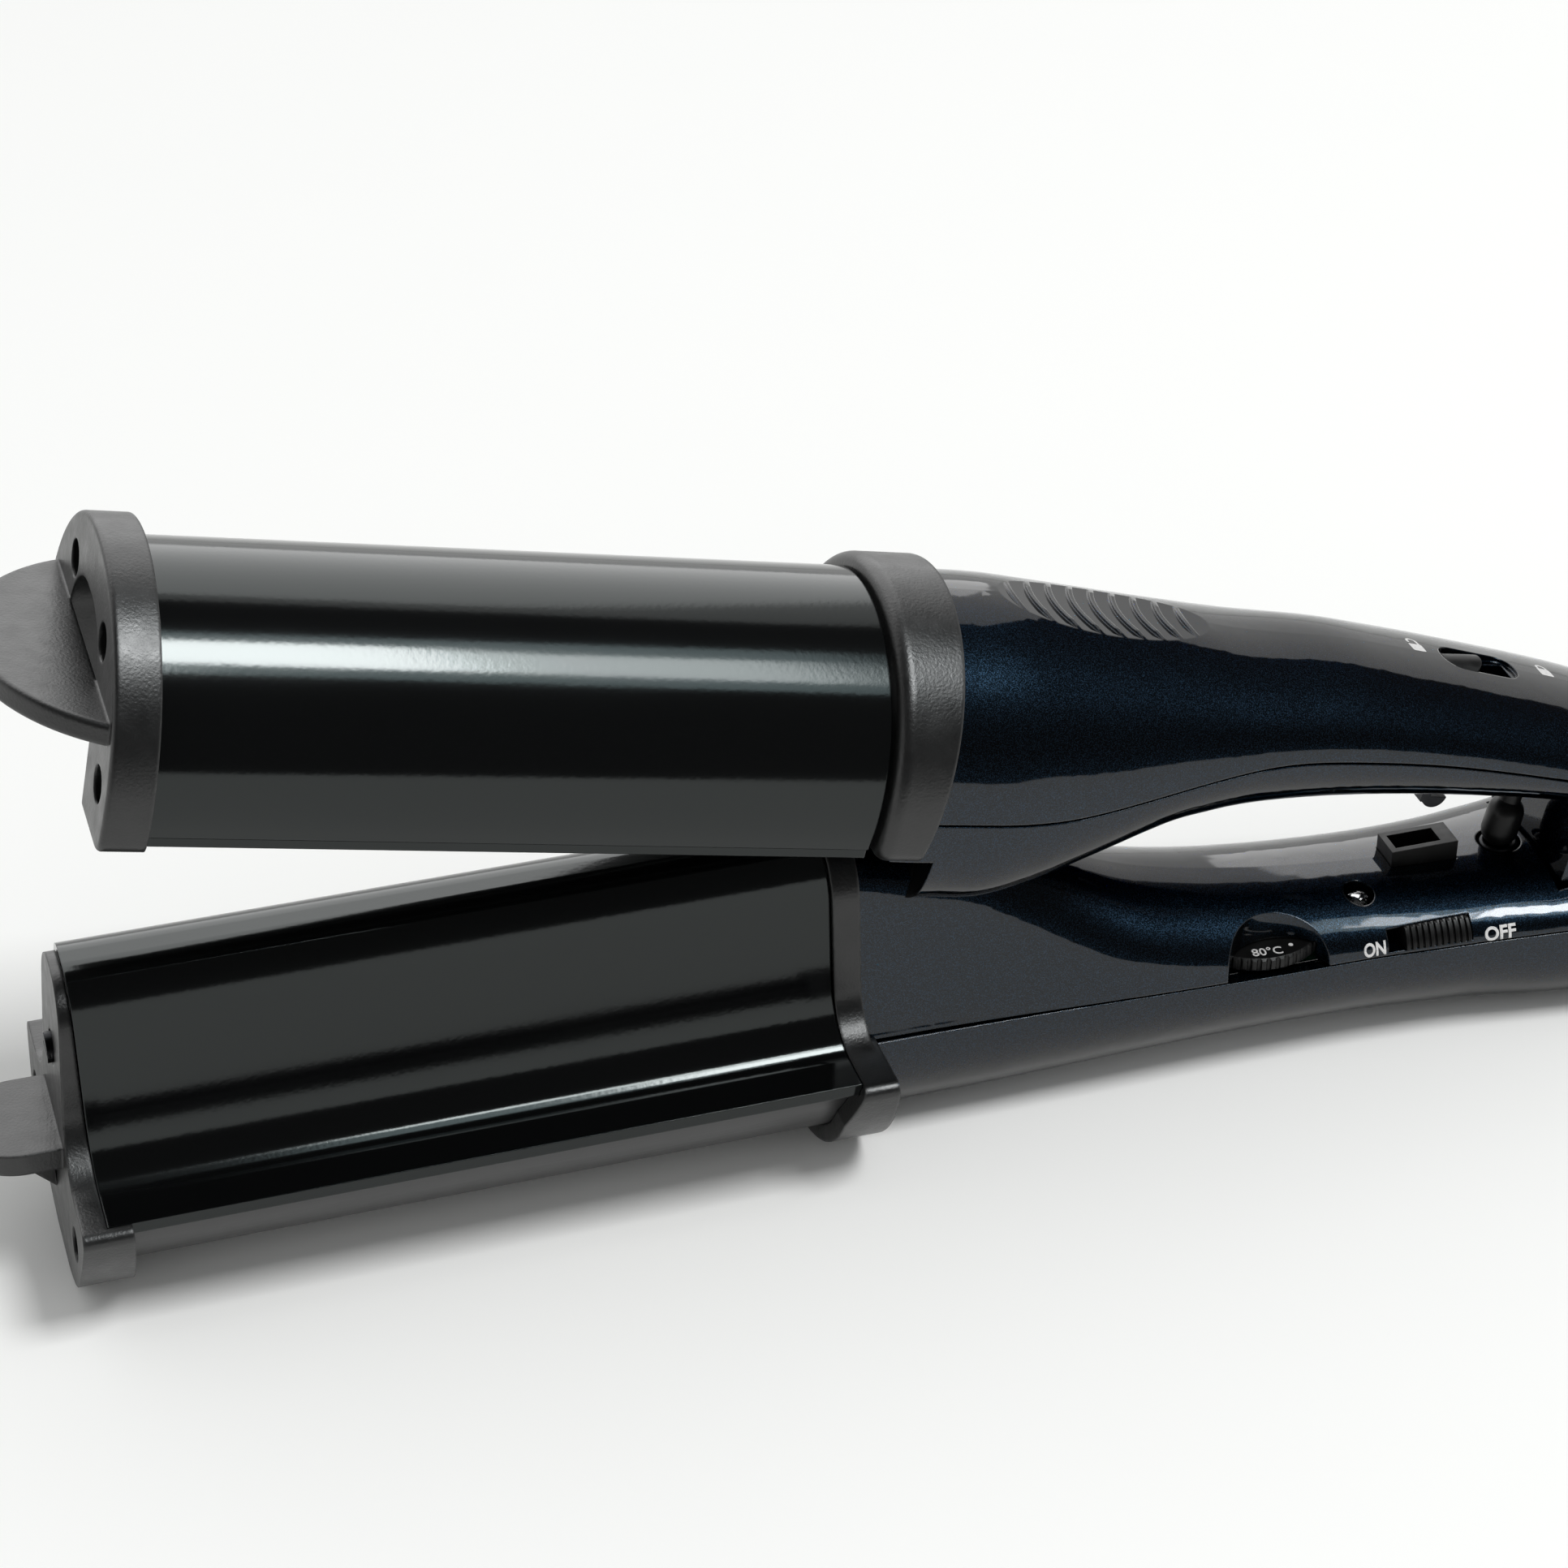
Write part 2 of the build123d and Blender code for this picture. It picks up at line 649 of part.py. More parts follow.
def lower_handle():
    """The lower handle before it is split: hollow in front, solid round the hinge."""
    cavity = body(LOWER_SECTIONS, SHELL_WALL) & block(-FAR, -FAR, -FAR, CAVITY_END_X, FAR, FAR)
    cavity -= upright(disc(LOWER_HANDLE_SCREW_X[0], 0, BOSS_RADIUS), 0, FAR)
    cavity -= upright(scoop(SCOOP_RADIUS + SHELL_WALL), scoop_foot_z(), FAR)
    for x in (BOARD_X0 + BOSS_RADIUS, BOARD_X1 - BOSS_RADIUS):
        cavity -= upright(disc(x, 0, BOSS_RADIUS), 0, BOARD_Z)
    handle = body(LOWER_SECTIONS) - cavity
    slide = NECK_HALF + SLIDE_GAP
    neck_space = disc(HINGE_X, HINGE_Z, NECK_RADIUS + SLIDE_GAP)
    neck_space += rect(HINGE_X - NECK_SWEEP - SLIDE_GAP, NECK_Z - SLIDE_GAP, HOOD_X, FAR)
    handle -= across(neck_space, -slide, slide)
    handle -= across(disc(HINGE_X, HINGE_Z, PIN_RADIUS + RUNNING_FIT), -FAR, FAR)
    slot = rect(SWITCH_X - SWITCH_SLOT_LENGTH / 2, -FAR, SWITCH_X + SWITCH_SLOT_LENGTH / 2, SWITCH_BODY_Y)
    handle -= upright(slot, SWITCH_Z - SWITCH_SLOT_HEIGHT / 2, SWITCH_Z + SWITCH_SLOT_HEIGHT / 2)
    handle -= upright(disc(LENS_X, LENS_Y, LENS_WELL + RUNNING_FIT), LENS_ROOT_Z, FAR)
    x0, x1 = loop_span()
    loop_half = LOOP_WIDTH / 2 + RUNNING_FIT
    handle -= block(x0 - RUNNING_FIT, -loop_half, LOOP_ROOT_Z, x1 + RUNNING_FIT, loop_half, FAR)
    handle -= upright(disc(well_x(), 0, WELL_RADIUS), WELL_FLOOR_Z, FAR)
    handle -= gland_shape(SEAT)
    for x in LOWER_HANDLE_SCREW_X:
        handle -= upright(disc(x, 0, SCREW_HOLE), -FAR, screw_seat_z(x))
        handle -= upright(disc(x, 0, SCREW_SHANK + RUNNING_FIT), 0, screw_tip_z(x))
    return handle


def screw_tip_z(x):
    """Upper end of a lower handle screw, past the parting line."""
    return blended(LOWER_SECTIONS, x).part_z + SCREW_LENGTH / 2


def lower_handle_screws():
    """Screws from below that hold the lower handle's halves together."""
    screws = []
    for x in LOWER_HANDLE_SCREW_X:
        seat = screw_seat_z(x)
        head = upright(disc(x, 0, SCREW_HEAD), seat - SCREW_HEAD_WALL, seat)
        screws.append(head + upright(disc(x, 0, SCREW_SHANK), seat, screw_tip_z(x) - SEAT))
    return Compound(screws)


def gland_shape(grow):
    """Cord gland outline, grown by the given gap, as one turned solid."""
    z = blended(LOWER_SECTIONS, TAIL_X).part_z
    root = TAIL_X - GLAND_SEAT
    gland = along(disc(0, z, GLAND_RADIUS + grow), root - grow, TAIL_X + GLAND_PROUD)
    flange = disc(0, z, GLAND_RADIUS + GLAND_FLANGE + grow)
    return gland + along(flange, root - grow, root + GLAND_FLANGE + grow)


def cord_gland():
    """Flanged bush at the tail, clamped between the halves, with a bore for a lead."""
    z = blended(LOWER_SECTIONS, TAIL_X).part_z
    gland = gland_shape(0)
    gland = fillet(gland.edges().filter_by(GeomType.CIRCLE).sort_by(Axis.X)[-1:], GLAND_FLANGE / 2)
    return gland - along(disc(0, z, GLAND_BORE), TAIL_X - FAR, TAIL_X + FAR)


def hinge_pin():
    """Steel pin through both cheeks, its ends a little below the surface."""
    half = half_width_at(LOWER_SECTIONS, HINGE_X, HINGE_Z) - PIN_RECESS
    pin = across(disc(HINGE_X, HINGE_Z, PIN_RADIUS), -half, half)
    return chamfer(pin.edges().filter_by(GeomType.CIRCLE), PIN_RECESS / 2)


def temperature_dial():
    """Thumb wheel with a toothed edge and a blind hole for its spindle."""
    z0 = DIAL_TOP_Z - DIAL_WALL
    wheel = upright(disc(DIAL_X, dial_y(), DIAL_RADIUS), z0, DIAL_TOP_Z)
    wheel = chamfer(wheel.edges().filter_by(GeomType.CIRCLE), DIAL_TOOTH)
    for k in range(DIAL_TEETH):
        angle = 2 * pi * k / DIAL_TEETH
        x = DIAL_X + DIAL_RADIUS * cos(angle)
        y = dial_y() + DIAL_RADIUS * sin(angle)
        wheel -= upright(disc(x, y, DIAL_TOOTH), z0, DIAL_TOP_Z)
    bore = disc(DIAL_X, dial_y(), SPINDLE_RADIUS + RUNNING_FIT)
    return wheel - upright(bore, z0, DIAL_TOP_Z - SPINDLE_TOP)


def board_top_z():
    """Upper face of the circuit board."""
    return BOARD_Z + BOARD_WALL


def circuit_board():
    """Board on two posts that carries the dial's control, the switch and the lamp."""
    return block(BOARD_X0, -BOARD_HALF, BOARD_Z, BOARD_X1, BOARD_HALF, board_top_z())


def dial_potentiometer():
    """Turning control under the dial, with the spindle that carries it."""
    top = DIAL_TOP_Z - DIAL_WALL - SLIDE_GAP
    can = upright(disc(DIAL_X, dial_y(), POT_RADIUS), board_top_z(), top)
    spindle = disc(DIAL_X, dial_y(), SPINDLE_RADIUS)
    return can + upright(spindle, top, DIAL_TOP_Z - SPINDLE_TOP - SEAT)


def switch_rest_x():
    """Both ends of the switch knob at rest, at the OFF end of its slot."""
    x1 = SWITCH_X + SWITCH_SLOT_LENGTH / 2 - (SWITCH_SLOT_LENGTH - SWITCH_KNOB_LENGTH - SWITCH_TRAVEL) / 2
    return x1 - SWITCH_KNOB_LENGTH, x1


def power_switch_knob():
    """Sliding knob in the near side, whose ribs follow the handle's outline."""
    x0, x1 = switch_rest_x()
    half = SWITCH_SLOT_HEIGHT / 2 - RUNNING_FIT
    y1 = SWITCH_BODY_Y - SWITCH_BODY_DEPTH - SEAT
    knob = block(x0, -FAR, SWITCH_Z - half, x1, y1, SWITCH_Z + half) & body(LOWER_SECTIONS, -SWITCH_PROUD)
    pitch = SWITCH_KNOB_LENGTH / (SWITCH_RIBS * 2 - 1)
    grooves = [Pos(x0 + pitch * (2 * k + 1.5), 0) * Rectangle(pitch, FAR) for k in range(SWITCH_RIBS - 1)]
    root = body(LOWER_SECTIONS, SWITCH_RIB_RISE - SWITCH_PROUD)
    return knob - (upright(Sketch() + grooves, 0, FAR) - root)


def power_switch_body():
    """Slide switch on the board, behind its knob."""
    half = SWITCH_SLOT_LENGTH / 2
    y0 = SWITCH_BODY_Y - SWITCH_BODY_DEPTH
    return block(SWITCH_X - half, y0, board_top_z(), SWITCH_X + half, SWITCH_BODY_Y, SWITCH_BODY_Z)


def lens_top_z():
    """Height of the handle's surface at the lamp."""
    here = blended(LOWER_SECTIONS, LENS_X)
    return here.part_z + (here.top_z - here.part_z) * sqrt(1 - (LENS_Y / here.half_width) ** 2)


def indicator_lens():
    """Clear domed lens over the lamp, on a flange that fills its well."""
    lens = upright(disc(LENS_X, LENS_Y, LENS_RADIUS), LENS_ROOT_Z, lens_top_z())
    lens = fillet(lens.edges().filter_by(GeomType.CIRCLE).sort_by(Axis.Z)[-1:], LENS_ROUND)
    return lens + upright(disc(LENS_X, LENS_Y, LENS_WELL), LENS_ROOT_Z, LENS_ROOT_Z + LENS_FLANGE)


def indicator_led():
    """Lamp on the board under the lens."""
    led = upright(disc(LENS_X, LENS_Y, LED_RADIUS), board_top_z(), LENS_ROOT_Z - SEAT)
    return fillet(led.edges().filter_by(GeomType.CIRCLE).sort_by(Axis.Z)[-1:], LED_ROUND)


def latch_loop():
    """Frame on the lower handle whose +X bar is caught by the hook."""
    x0, x1 = loop_span()
    loop = block(x0, -LOOP_WIDTH / 2, LOOP_ROOT_Z, x1, LOOP_WIDTH / 2, LOOP_TOP_Z)
    hole_half = LOOP_WIDTH / 2 - LOOP_WALL
    loop -= block(x0 + LOOP_WALL, -hole_half, LOOP_ROOT_Z, x1 - LOOP_BAR, hole_half, LOOP_TOP_Z)
    loop -= block(x0 + LOOP_WALL, -hole_half, LOOP_ROOT_Z, x1, hole_half, LOOP_TOP_Z - LOOP_BAR_WALL)
    return loop


def opening_spring():
    """Coil spring in the well under the plunger, as one unbroken wire."""
    radius = WELL_RADIUS - SPRING_WIRE - SLIDE_GAP
    height = blended(LOWER_SECTIONS, PLUNGER_X).top_z - WELL_FLOOR_Z - 2 * SPRING_WIRE
    coil = Helix(height / SPRING_TURNS, height, radius)
    wire = sweep(Plane(coil @ 0, z_dir=coil % 0) * Circle(SPRING_WIRE), path=coil)
    return Pos(well_x(), 0, WELL_FLOOR_Z + SPRING_WIRE) * wire


# Upper heated section, drawn closed


def upper_screw_places():
    """Where the upper cap's screws sit, as Y and Z."""
    places = []
    for angle in CAP_SCREW_ANGLES:
        y = CAP_SCREW_REACH * cos(radians(angle))
        z = AXIS_Z + CAP_SCREW_REACH * sin(radians(angle))
        places += [(-y, z), (y, z)]
    return places


def upper_seat_x():
    """Where the heads of the upper cap's screws seat."""
    return UPPER_TIP_X + SCREW_SEAT + SCREW_HEAD_WALL


def spigot_face():
    """Outline of the plugs that the cap and the collar push into the barrel."""
    plug = disc(0, AXIS_Z, BARREL_RADIUS - BARREL_WALL - SEAT)
    return plug - channel(CHANNEL_WALL + SEAT, LEG_Z)


def upper_barrel():
    """Round glossy shell of the upper arm, open below."""
    ring = disc(0, AXIS_Z, BARREL_RADIUS) - disc(0, AXIS_Z, BARREL_RADIUS - BARREL_WALL)
    return along(ring & rect(-FAR, LEG_Z, FAR, FAR), BARREL_X0 + SEAT, BARREL_X1)


def upper_channel_plate():
    """Glossy channel that closes the barrel below and takes the ridge."""
    strip = bell(HAIR_GAP + CHANNEL_WALL, HAIR_GAP_TOP + CHANNEL_WALL, FLANGE_Z, FLANGE_HALF)
    return along(strip - channel(0, FLANGE_Z - CHANNEL_WALL), BARREL_X0 + SEAT, BARREL_X1)


def core_span():
    """Both ends of the cores between the two plugs."""
    return BARREL_X0 + SPIGOT + SEAT, RING_X0 - SPIGOT - SEAT


def upper_heater_z():
    """Lowest and highest edge of the upper heaters."""
    return AXIS_Z - UPPER_HEATER_HEIGHT / 2, AXIS_Z + UPPER_HEATER_HEIGHT / 2


def upper_leg_cores():
    """Two metal cores between the barrel and the channel, slotted for the heaters."""
    x0, x1 = core_span()
    z0, z1 = upper_heater_z()
    half = UPPER_HEATER_WALL / 2 + RUNNING_FIT
    face = spigot_face() - rect(-CORE_SPLIT, 0, CORE_SPLIT, FAR)
    cores = along(face, x0, x1)
    for y in (-UPPER_HEATER_Y, UPPER_HEATER_Y):
        cores -= block(x0 + HEATER_MARGIN, y - half, z0 - RUNNING_FIT, x1, y + half, z1 + RUNNING_FIT)
    for y, z in upper_screw_places():
        cores -= along(disc(y, z, SCREW_SHANK + RUNNING_FIT), x0, x0 + SCREW_LENGTH)
    return cores


def upper_heaters():
    """Flat ceramic heaters in the cores' slots."""
    x0, x1 = core_span()
    z0, z1 = upper_heater_z()
    half = UPPER_HEATER_WALL / 2
    start = x0 + HEATER_MARGIN + SEAT
    bars = [block(start, y - half, z0, x1, y + half, z1) for y in (-UPPER_HEATER_Y, UPPER_HEATER_Y)]
    return Compound(bars)


def upper_thermal_fuse():
    """Small fuse lying along the top of the channel, under the barrel."""
    z = RIDGE_TOP_Z + HAIR_GAP_TOP + CHANNEL_WALL + SEAT + FUSE_RADIUS
    x0, x1 = core_span()
    middle = (x0 + x1) / 2
    return along(disc(0, z, FUSE_RADIUS), middle - FUSE_LENGTH / 2, middle + FUSE_LENGTH / 2)


def upper_end_cap():
    """Tip cap of the upper arm with its half-moon grip fin."""
    cap = rounded_front(along(rim(RIM_RADIUS), UPPER_TIP_X, BARREL_X0), RIM_EDGE)
    cap -= along(channel(0, RIM_Z - SPIGOT), UPPER_TIP_X, BARREL_X0)
    cap += along(spigot_face(), BARREL_X0, BARREL_X0 + SPIGOT)
    half = UPPER_FIN_CHORD / 2
    radius = (half**2 + UPPER_FIN_REACH**2) / (2 * UPPER_FIN_REACH)
    moon = disc(UPPER_TIP_X - UPPER_FIN_REACH + radius, 0, radius)
    moon &= rect(UPPER_TIP_X - UPPER_FIN_REACH, -half, UPPER_TIP_X, half)
    top = AXIS_Z + UPPER_FIN_RISE
    fin = upright(moon, top - FIN_WALL, top)
    cap += fillet(fin.edges().filter_by(GeomType.CIRCLE), FIN_EDGE)
    return cap - tip_holes(upper_screw_places(), upper_seat_x())


def upper_collar():
    """Collar between the barrel and the upper handle, with a plug into the barrel."""
    collar = rounded_front(along(rim(UPPER_COLLAR_RADIUS), RING_X0, RING_X1), UPPER_COLLAR_EDGE)
    top = AXIS_Z + UPPER_COLLAR_RADIUS
    lean = (top - RIM_Z) * tan(radians(COLLAR_LEAN))
    collar -= across(polygon((RING_X1, top), (RING_X1, RIM_Z), (RING_X1 - lean, RIM_Z)), -FAR, FAR)
    collar -= along(channel(BAND_PROUD, RIM_Z - SPIGOT), RING_X0, RING_X1)
    collar -= sleeve(UPPER_SECTIONS, RING_X0 + COLLAR_WEB, RING_X1 + SEAT)
    return collar + along(spigot_face(), RING_X0 - SPIGOT, RING_X0)


def upper_cap_screws():
    """The four screws of the upper cap."""
    return Compound(tip_screws(upper_screw_places(), upper_seat_x()))


# Upper handle, drawn closed


def neck(grow):
    """Hinge neck of the upper handle: a round knuckle with a web that runs forward under the handle."""
    last = UPPER_SECTIONS[-1]
    side = polygon(
        (HINGE_X - NECK_FRONT, NECK_Z),
        (HINGE_X, NECK_Z),
        (HINGE_X, HINGE_Z + NECK_RADIUS),
        (last.x, last.top_z),
        (last.x - NECK_LAP, last.part_z - NECK_LAP),
        (HINGE_X - NECK_FRONT, last.part_z - NECK_LAP),
    )
    side += disc(HINGE_X, HINGE_Z, NECK_RADIUS)
    return across(side, -NECK_HALF - grow, NECK_HALF + grow)


def lock_span():
    """Both ends of the lock's slot along X."""
    return LOCK_X - LOCK_SLOT_LENGTH / 2, LOCK_X + LOCK_SLOT_LENGTH / 2


def lock_rest_x():
    """Both ends of the lock knob at rest, at the -X end of its slot."""
    x0 = lock_span()[0] + SLIDE_GAP
    return x0, x0 + LOCK_KNOB_LENGTH


def hook_x():
    """Both ends of the hook's stem at rest."""
    x0, x1 = lock_rest_x()
    middle = (x0 + x1) / 2 + HOOK_AHEAD
    return middle - HOOK_STEM / 2, middle + HOOK_STEM / 2


def pocket_floor_z():
    """Floor of the lock's pocket."""
    return blended(UPPER_SECTIONS, LOCK_X).top_z - LOCK_POCKET


def upper_handle():
    """The upper handle before it is split: troughed below to nest on the lower handle."""
    shell = body(UPPER_SECTIONS) - body(LOWER_SECTIONS, -NEST_GAP)
    cavity = body(UPPER_SECTIONS, SHELL_WALL) - body(LOWER_SECTIONS, -NEST_GAP - SHELL_WALL)
    cavity &= block(RING_X1, -FAR, -FAR, CAVITY_END_X, FAR, FAR)
    for x in UPPER_HANDLE_SCREW_X:
        cavity -= upright(disc(x, 0, BOSS_RADIUS), 0, FAR)
    shell -= cavity
    shell -= block(-FAR, -FAR, -FAR, RING_X0 + COLLAR_WEB + SEAT, FAR, FAR)
    collar_end = COLLAR_X1 + NEST_GAP
    shell -= across(rect(-FAR, 0, collar_end, RIM_Z), -FAR, FAR)
    shell -= along(channel(BAND_PROUD, RIM_Z - SPIGOT), RING_X0, collar_end)
    shell -= recess_dish(RECESS_DEPTH - RIB_RISE)
    shell -= recess_dish(RECESS_DEPTH) - recess_ribs()
    x0, x1 = lock_span()
    pocket = Pos((x0 + x1) / 2, 0) * RectangleRounded(x1 - x0, LOCK_SLOT_WIDTH, LOCK_SLOT_ROUND)
    shell -= upright(pocket, pocket_floor_z(), FAR)
    stem0, stem1 = hook_x()
    half = HOOK_WIDTH / 2 + SLIDE_GAP
    shell -= block(stem0 - SLIDE_GAP, -half, 0, stem1 + HOOK_TOE + LOCK_TRAVEL + SLIDE_GAP, half, FAR)
    shell -= upright(disc(PLUNGER_X, 0, PLUNGER_NECK + RUNNING_FIT), 0, plunger_root_z())
    for x in UPPER_HANDLE_SCREW_X:
        shell -= upright(disc(x, 0, SCREW_HOLE), 0, upper_screw_seat_z(x))
        shell -= upright(disc(x, 0, SCREW_SHANK + RUNNING_FIT), 0, upper_screw_tip_z(x))
    return shell


def underside_z(x):
    """Underside of the upper handle on its centre plane."""
    return max(blended(UPPER_SECTIONS, x).bottom_z, blended(LOWER_SECTIONS, x).top_z + NEST_GAP)


def upper_screw_seat_z(x):
    """Where the head of an upper handle screw seats."""
    return underside_z(x) + SCREW_SEAT + SCREW_HEAD_WALL


def upper_screw_tip_z(x):
    """Upper end of an upper handle screw, past the parting line."""
    return blended(UPPER_SECTIONS, x).part_z + SCREW_LENGTH / 2


def upper_handle_screws():
    """Screws from below that hold the upper handle's halves together."""
    screws = []
    for x in UPPER_HANDLE_SCREW_X:
        seat = upper_screw_seat_z(x)
        head = upright(disc(x, 0, SCREW_HEAD), seat - SCREW_HEAD_WALL, seat)
        screws.append(head + upright(disc(x, 0, SCREW_SHANK), seat, upper_screw_tip_z(x) - SEAT))
    return Compound(screws)


def recess_dish(depth):
    """The shallow finger recess, as a wide drum across the handle that dips into its top."""
    here = blended(UPPER_SECTIONS, RECESS_X)
    fall = here.top_z - blended(UPPER_SECTIONS, RECESS_X + STATION_STEP).top_z
    lean = atan2(fall, STATION_STEP)
    radius = (RECESS_HALF_LENGTH**2 + RECESS_DEPTH**2) / (2 * RECESS_DEPTH)
    x = RECESS_X + (radius - RECESS_DEPTH) * sin(lean)
    z = here.top_z + (radius - RECESS_DEPTH) * cos(lean)
    return across(disc(x, z, radius - RECESS_DEPTH + depth), -here.half_width, here.half_width)


def recess_ribs():
    """The curved ribs in the finger recess, as upright walls."""
    ribs = []
    for k in range(RIB_COUNT):
        x = RECESS_X + RIB_PITCH * (k - (RIB_COUNT - 1) / 2) + RIB_CURVE
        ring = disc(x, 0, RIB_CURVE + RIB_WALL / 2) - disc(x, 0, RIB_CURVE - RIB_WALL / 2)
        ribs.append(upright(ring & rect(x - FAR, -FAR, x, FAR), AXIS_Z, FAR))
    return ribs


def upper_handle_neck():
    """The hinge neck with the bores for its bushes and the pin."""
    solid = neck(0)
    solid -= across(disc(HINGE_X, HINGE_Z, PIN_RADIUS + SLIDE_GAP), -FAR, FAR)
    bore = disc(HINGE_X, HINGE_Z, PIN_RADIUS + BUSH_WALL + RUNNING_FIT)
    inner = NECK_HALF - BUSH_LENGTH - SEAT
    return solid - across(bore, -FAR, -inner) - across(bore, inner, FAR)


def hinge_bushes():
    """Two bronze bushes in the neck that run on the pin."""
    ring = disc(HINGE_X, HINGE_Z, PIN_RADIUS + BUSH_WALL) - disc(HINGE_X, HINGE_Z, PIN_RADIUS + RUNNING_FIT)
    inner = NECK_HALF - BUSH_LENGTH
    return Compound([across(ring, -NECK_HALF, -inner), across(ring, inner, NECK_HALF)])


def plunger_root_z():
    """Upper end of the plunger's stem inside the upper handle."""
    return blended(UPPER_SECTIONS, PLUNGER_X).bottom_z + SPIGOT


def spring_plunger():
    """Round-ended post under the upper handle that presses the spring in its well."""
    low = PLUNGER_TIP_Z + PLUNGER_RADIUS
    high = PLUNGER_TIP_Z + PLUNGER_LENGTH - PLUNGER_RADIUS
    post = upright(disc(PLUNGER_X, 0, PLUNGER_RADIUS), low, high)
    for z in (low, high):
        post += Pos(PLUNGER_X, 0, z) * Sphere(PLUNGER_RADIUS)
    return post + upright(disc(PLUNGER_X, 0, PLUNGER_NECK), high, plunger_root_z() - SEAT)


def lock_knob():
    """Sliding lock knob in its pocket: a half-round bar along the slot."""
    x0, x1 = lock_rest_x()
    floor = pocket_floor_z() + RUNNING_FIT
    top = blended(UPPER_SECTIONS, LOCK_X).top_z + LOCK_PROUD
    half = LOCK_SLOT_WIDTH / 2 - SLIDE_GAP
    knob = along(disc(0, top - LOCK_CROWN, LOCK_CROWN) & rect(-half, floor, half, top), x0, x1)
    plan = RectangleRounded(LOCK_KNOB_LENGTH, 2 * half, LOCK_SLOT_ROUND - SLIDE_GAP)
    return knob & upright(Pos((x0 + x1) / 2, 0) * plan, floor, top)


def lock_hook():
    """Flat hook on the lock knob, with a round toe that reaches under the bar of the latch loop."""
    x0, x1 = hook_x()
    top = pocket_floor_z() + RUNNING_FIT
    stem = block(x0, -HOOK_WIDTH / 2, HOOK_TIP_Z + HOOK_TOE_WALL / 2, x1, HOOK_WIDTH / 2, top)
    half = (HOOK_STEM + HOOK_TOE) / 2
    radius = (half**2 + HOOK_TOE_WALL**2) / (2 * HOOK_TOE_WALL)
    toe = disc(x0 + half, HOOK_TIP_Z + radius, radius)
    toe &= rect(x0, HOOK_TIP_Z, x1 + HOOK_TOE, HOOK_TIP_Z + HOOK_TOE_WALL)
    return stem + across(toe, -HOOK_WIDTH / 2, HOOK_WIDTH / 2)


def main():
    """Make every piece and write it to its own file."""
    os.makedirs("parts", exist_ok=True)
    lower = lower_handle()
    upper = upper_handle()
    upper_bottom = upper & below_parting(UPPER_SECTIONS, -SEAM / 2)
    fixed = {
        "lower_plate": lower_plate(),
        "lower_cover": lower_cover(),
        "lower_end_cap": lower_end_cap(),
        "lower_collar": lower_collar(),
        "lower_heat_spreader": lower_heat_spreader(),
        "lower_heater": lower_heater(),
        "lower_carrier": lower_carrier(),
        "lower_thermostat": lower_thermostat(),
        "lower_cap_screws": lower_cap_screws(),
        "lower_handle_top_shell": lower - below_parting(LOWER_SECTIONS, SEAM / 2) - dial_window(),
        "lower_handle_bottom_shell": lower & below_parting(LOWER_SECTIONS, -SEAM / 2),
        "lower_handle_screws": lower_handle_screws(),
        "cord_gland": cord_gland(),
        "hinge_pin": hinge_pin(),
        "temperature_dial": temperature_dial(),
        "circuit_board": circuit_board(),
        "dial_potentiometer": dial_potentiometer(),
        "power_switch_knob": power_switch_knob(),
        "power_switch_body": power_switch_body(),
        "indicator_lens": indicator_lens(),
        "indicator_led": indicator_led(),
        "latch_loop": latch_loop(),
        "opening_spring": opening_spring(),
    }
    swinging = {
        "upper_barrel": upper_barrel(),
        "upper_channel_plate": upper_channel_plate(),
        "upper_leg_cores": upper_leg_cores(),
        "upper_heaters": upper_heaters(),
        "upper_thermal_fuse": upper_thermal_fuse(),
        "upper_end_cap": upper_end_cap(),
        "upper_collar": upper_collar(),
        "upper_cap_screws": upper_cap_screws(),
        "upper_handle_top_shell": upper - below_parting(UPPER_SECTIONS, SEAM / 2) - neck(SEAT),
        "upper_handle_bottom_shell": upper_bottom + upper_handle_neck(),
        "upper_handle_screws": upper_handle_screws(),
        "hinge_bushes": hinge_bushes(),
        "spring_plunger": spring_plunger(),
        "lock_knob": lock_knob(),
        "lock_hook": lock_hook(),
    }
    for name, shape in fixed.items():
        export_step(shape, f"parts/{name}.step")
    for name, shape in swinging.items():
        export_step(swung(shape), f"parts/{name}.step")


if __name__ == "__main__":
    main()
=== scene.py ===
"""Looks of a two-arm curling iron: its finishes, its spring, its printed marks and its studio."""

import logging
import math
from dataclasses import dataclass
from enum import Enum
from typing import Optional, Union

import bmesh
import bpy
from mathutils import Matrix, Vector
from mathutils.bvhtree import BVHTree


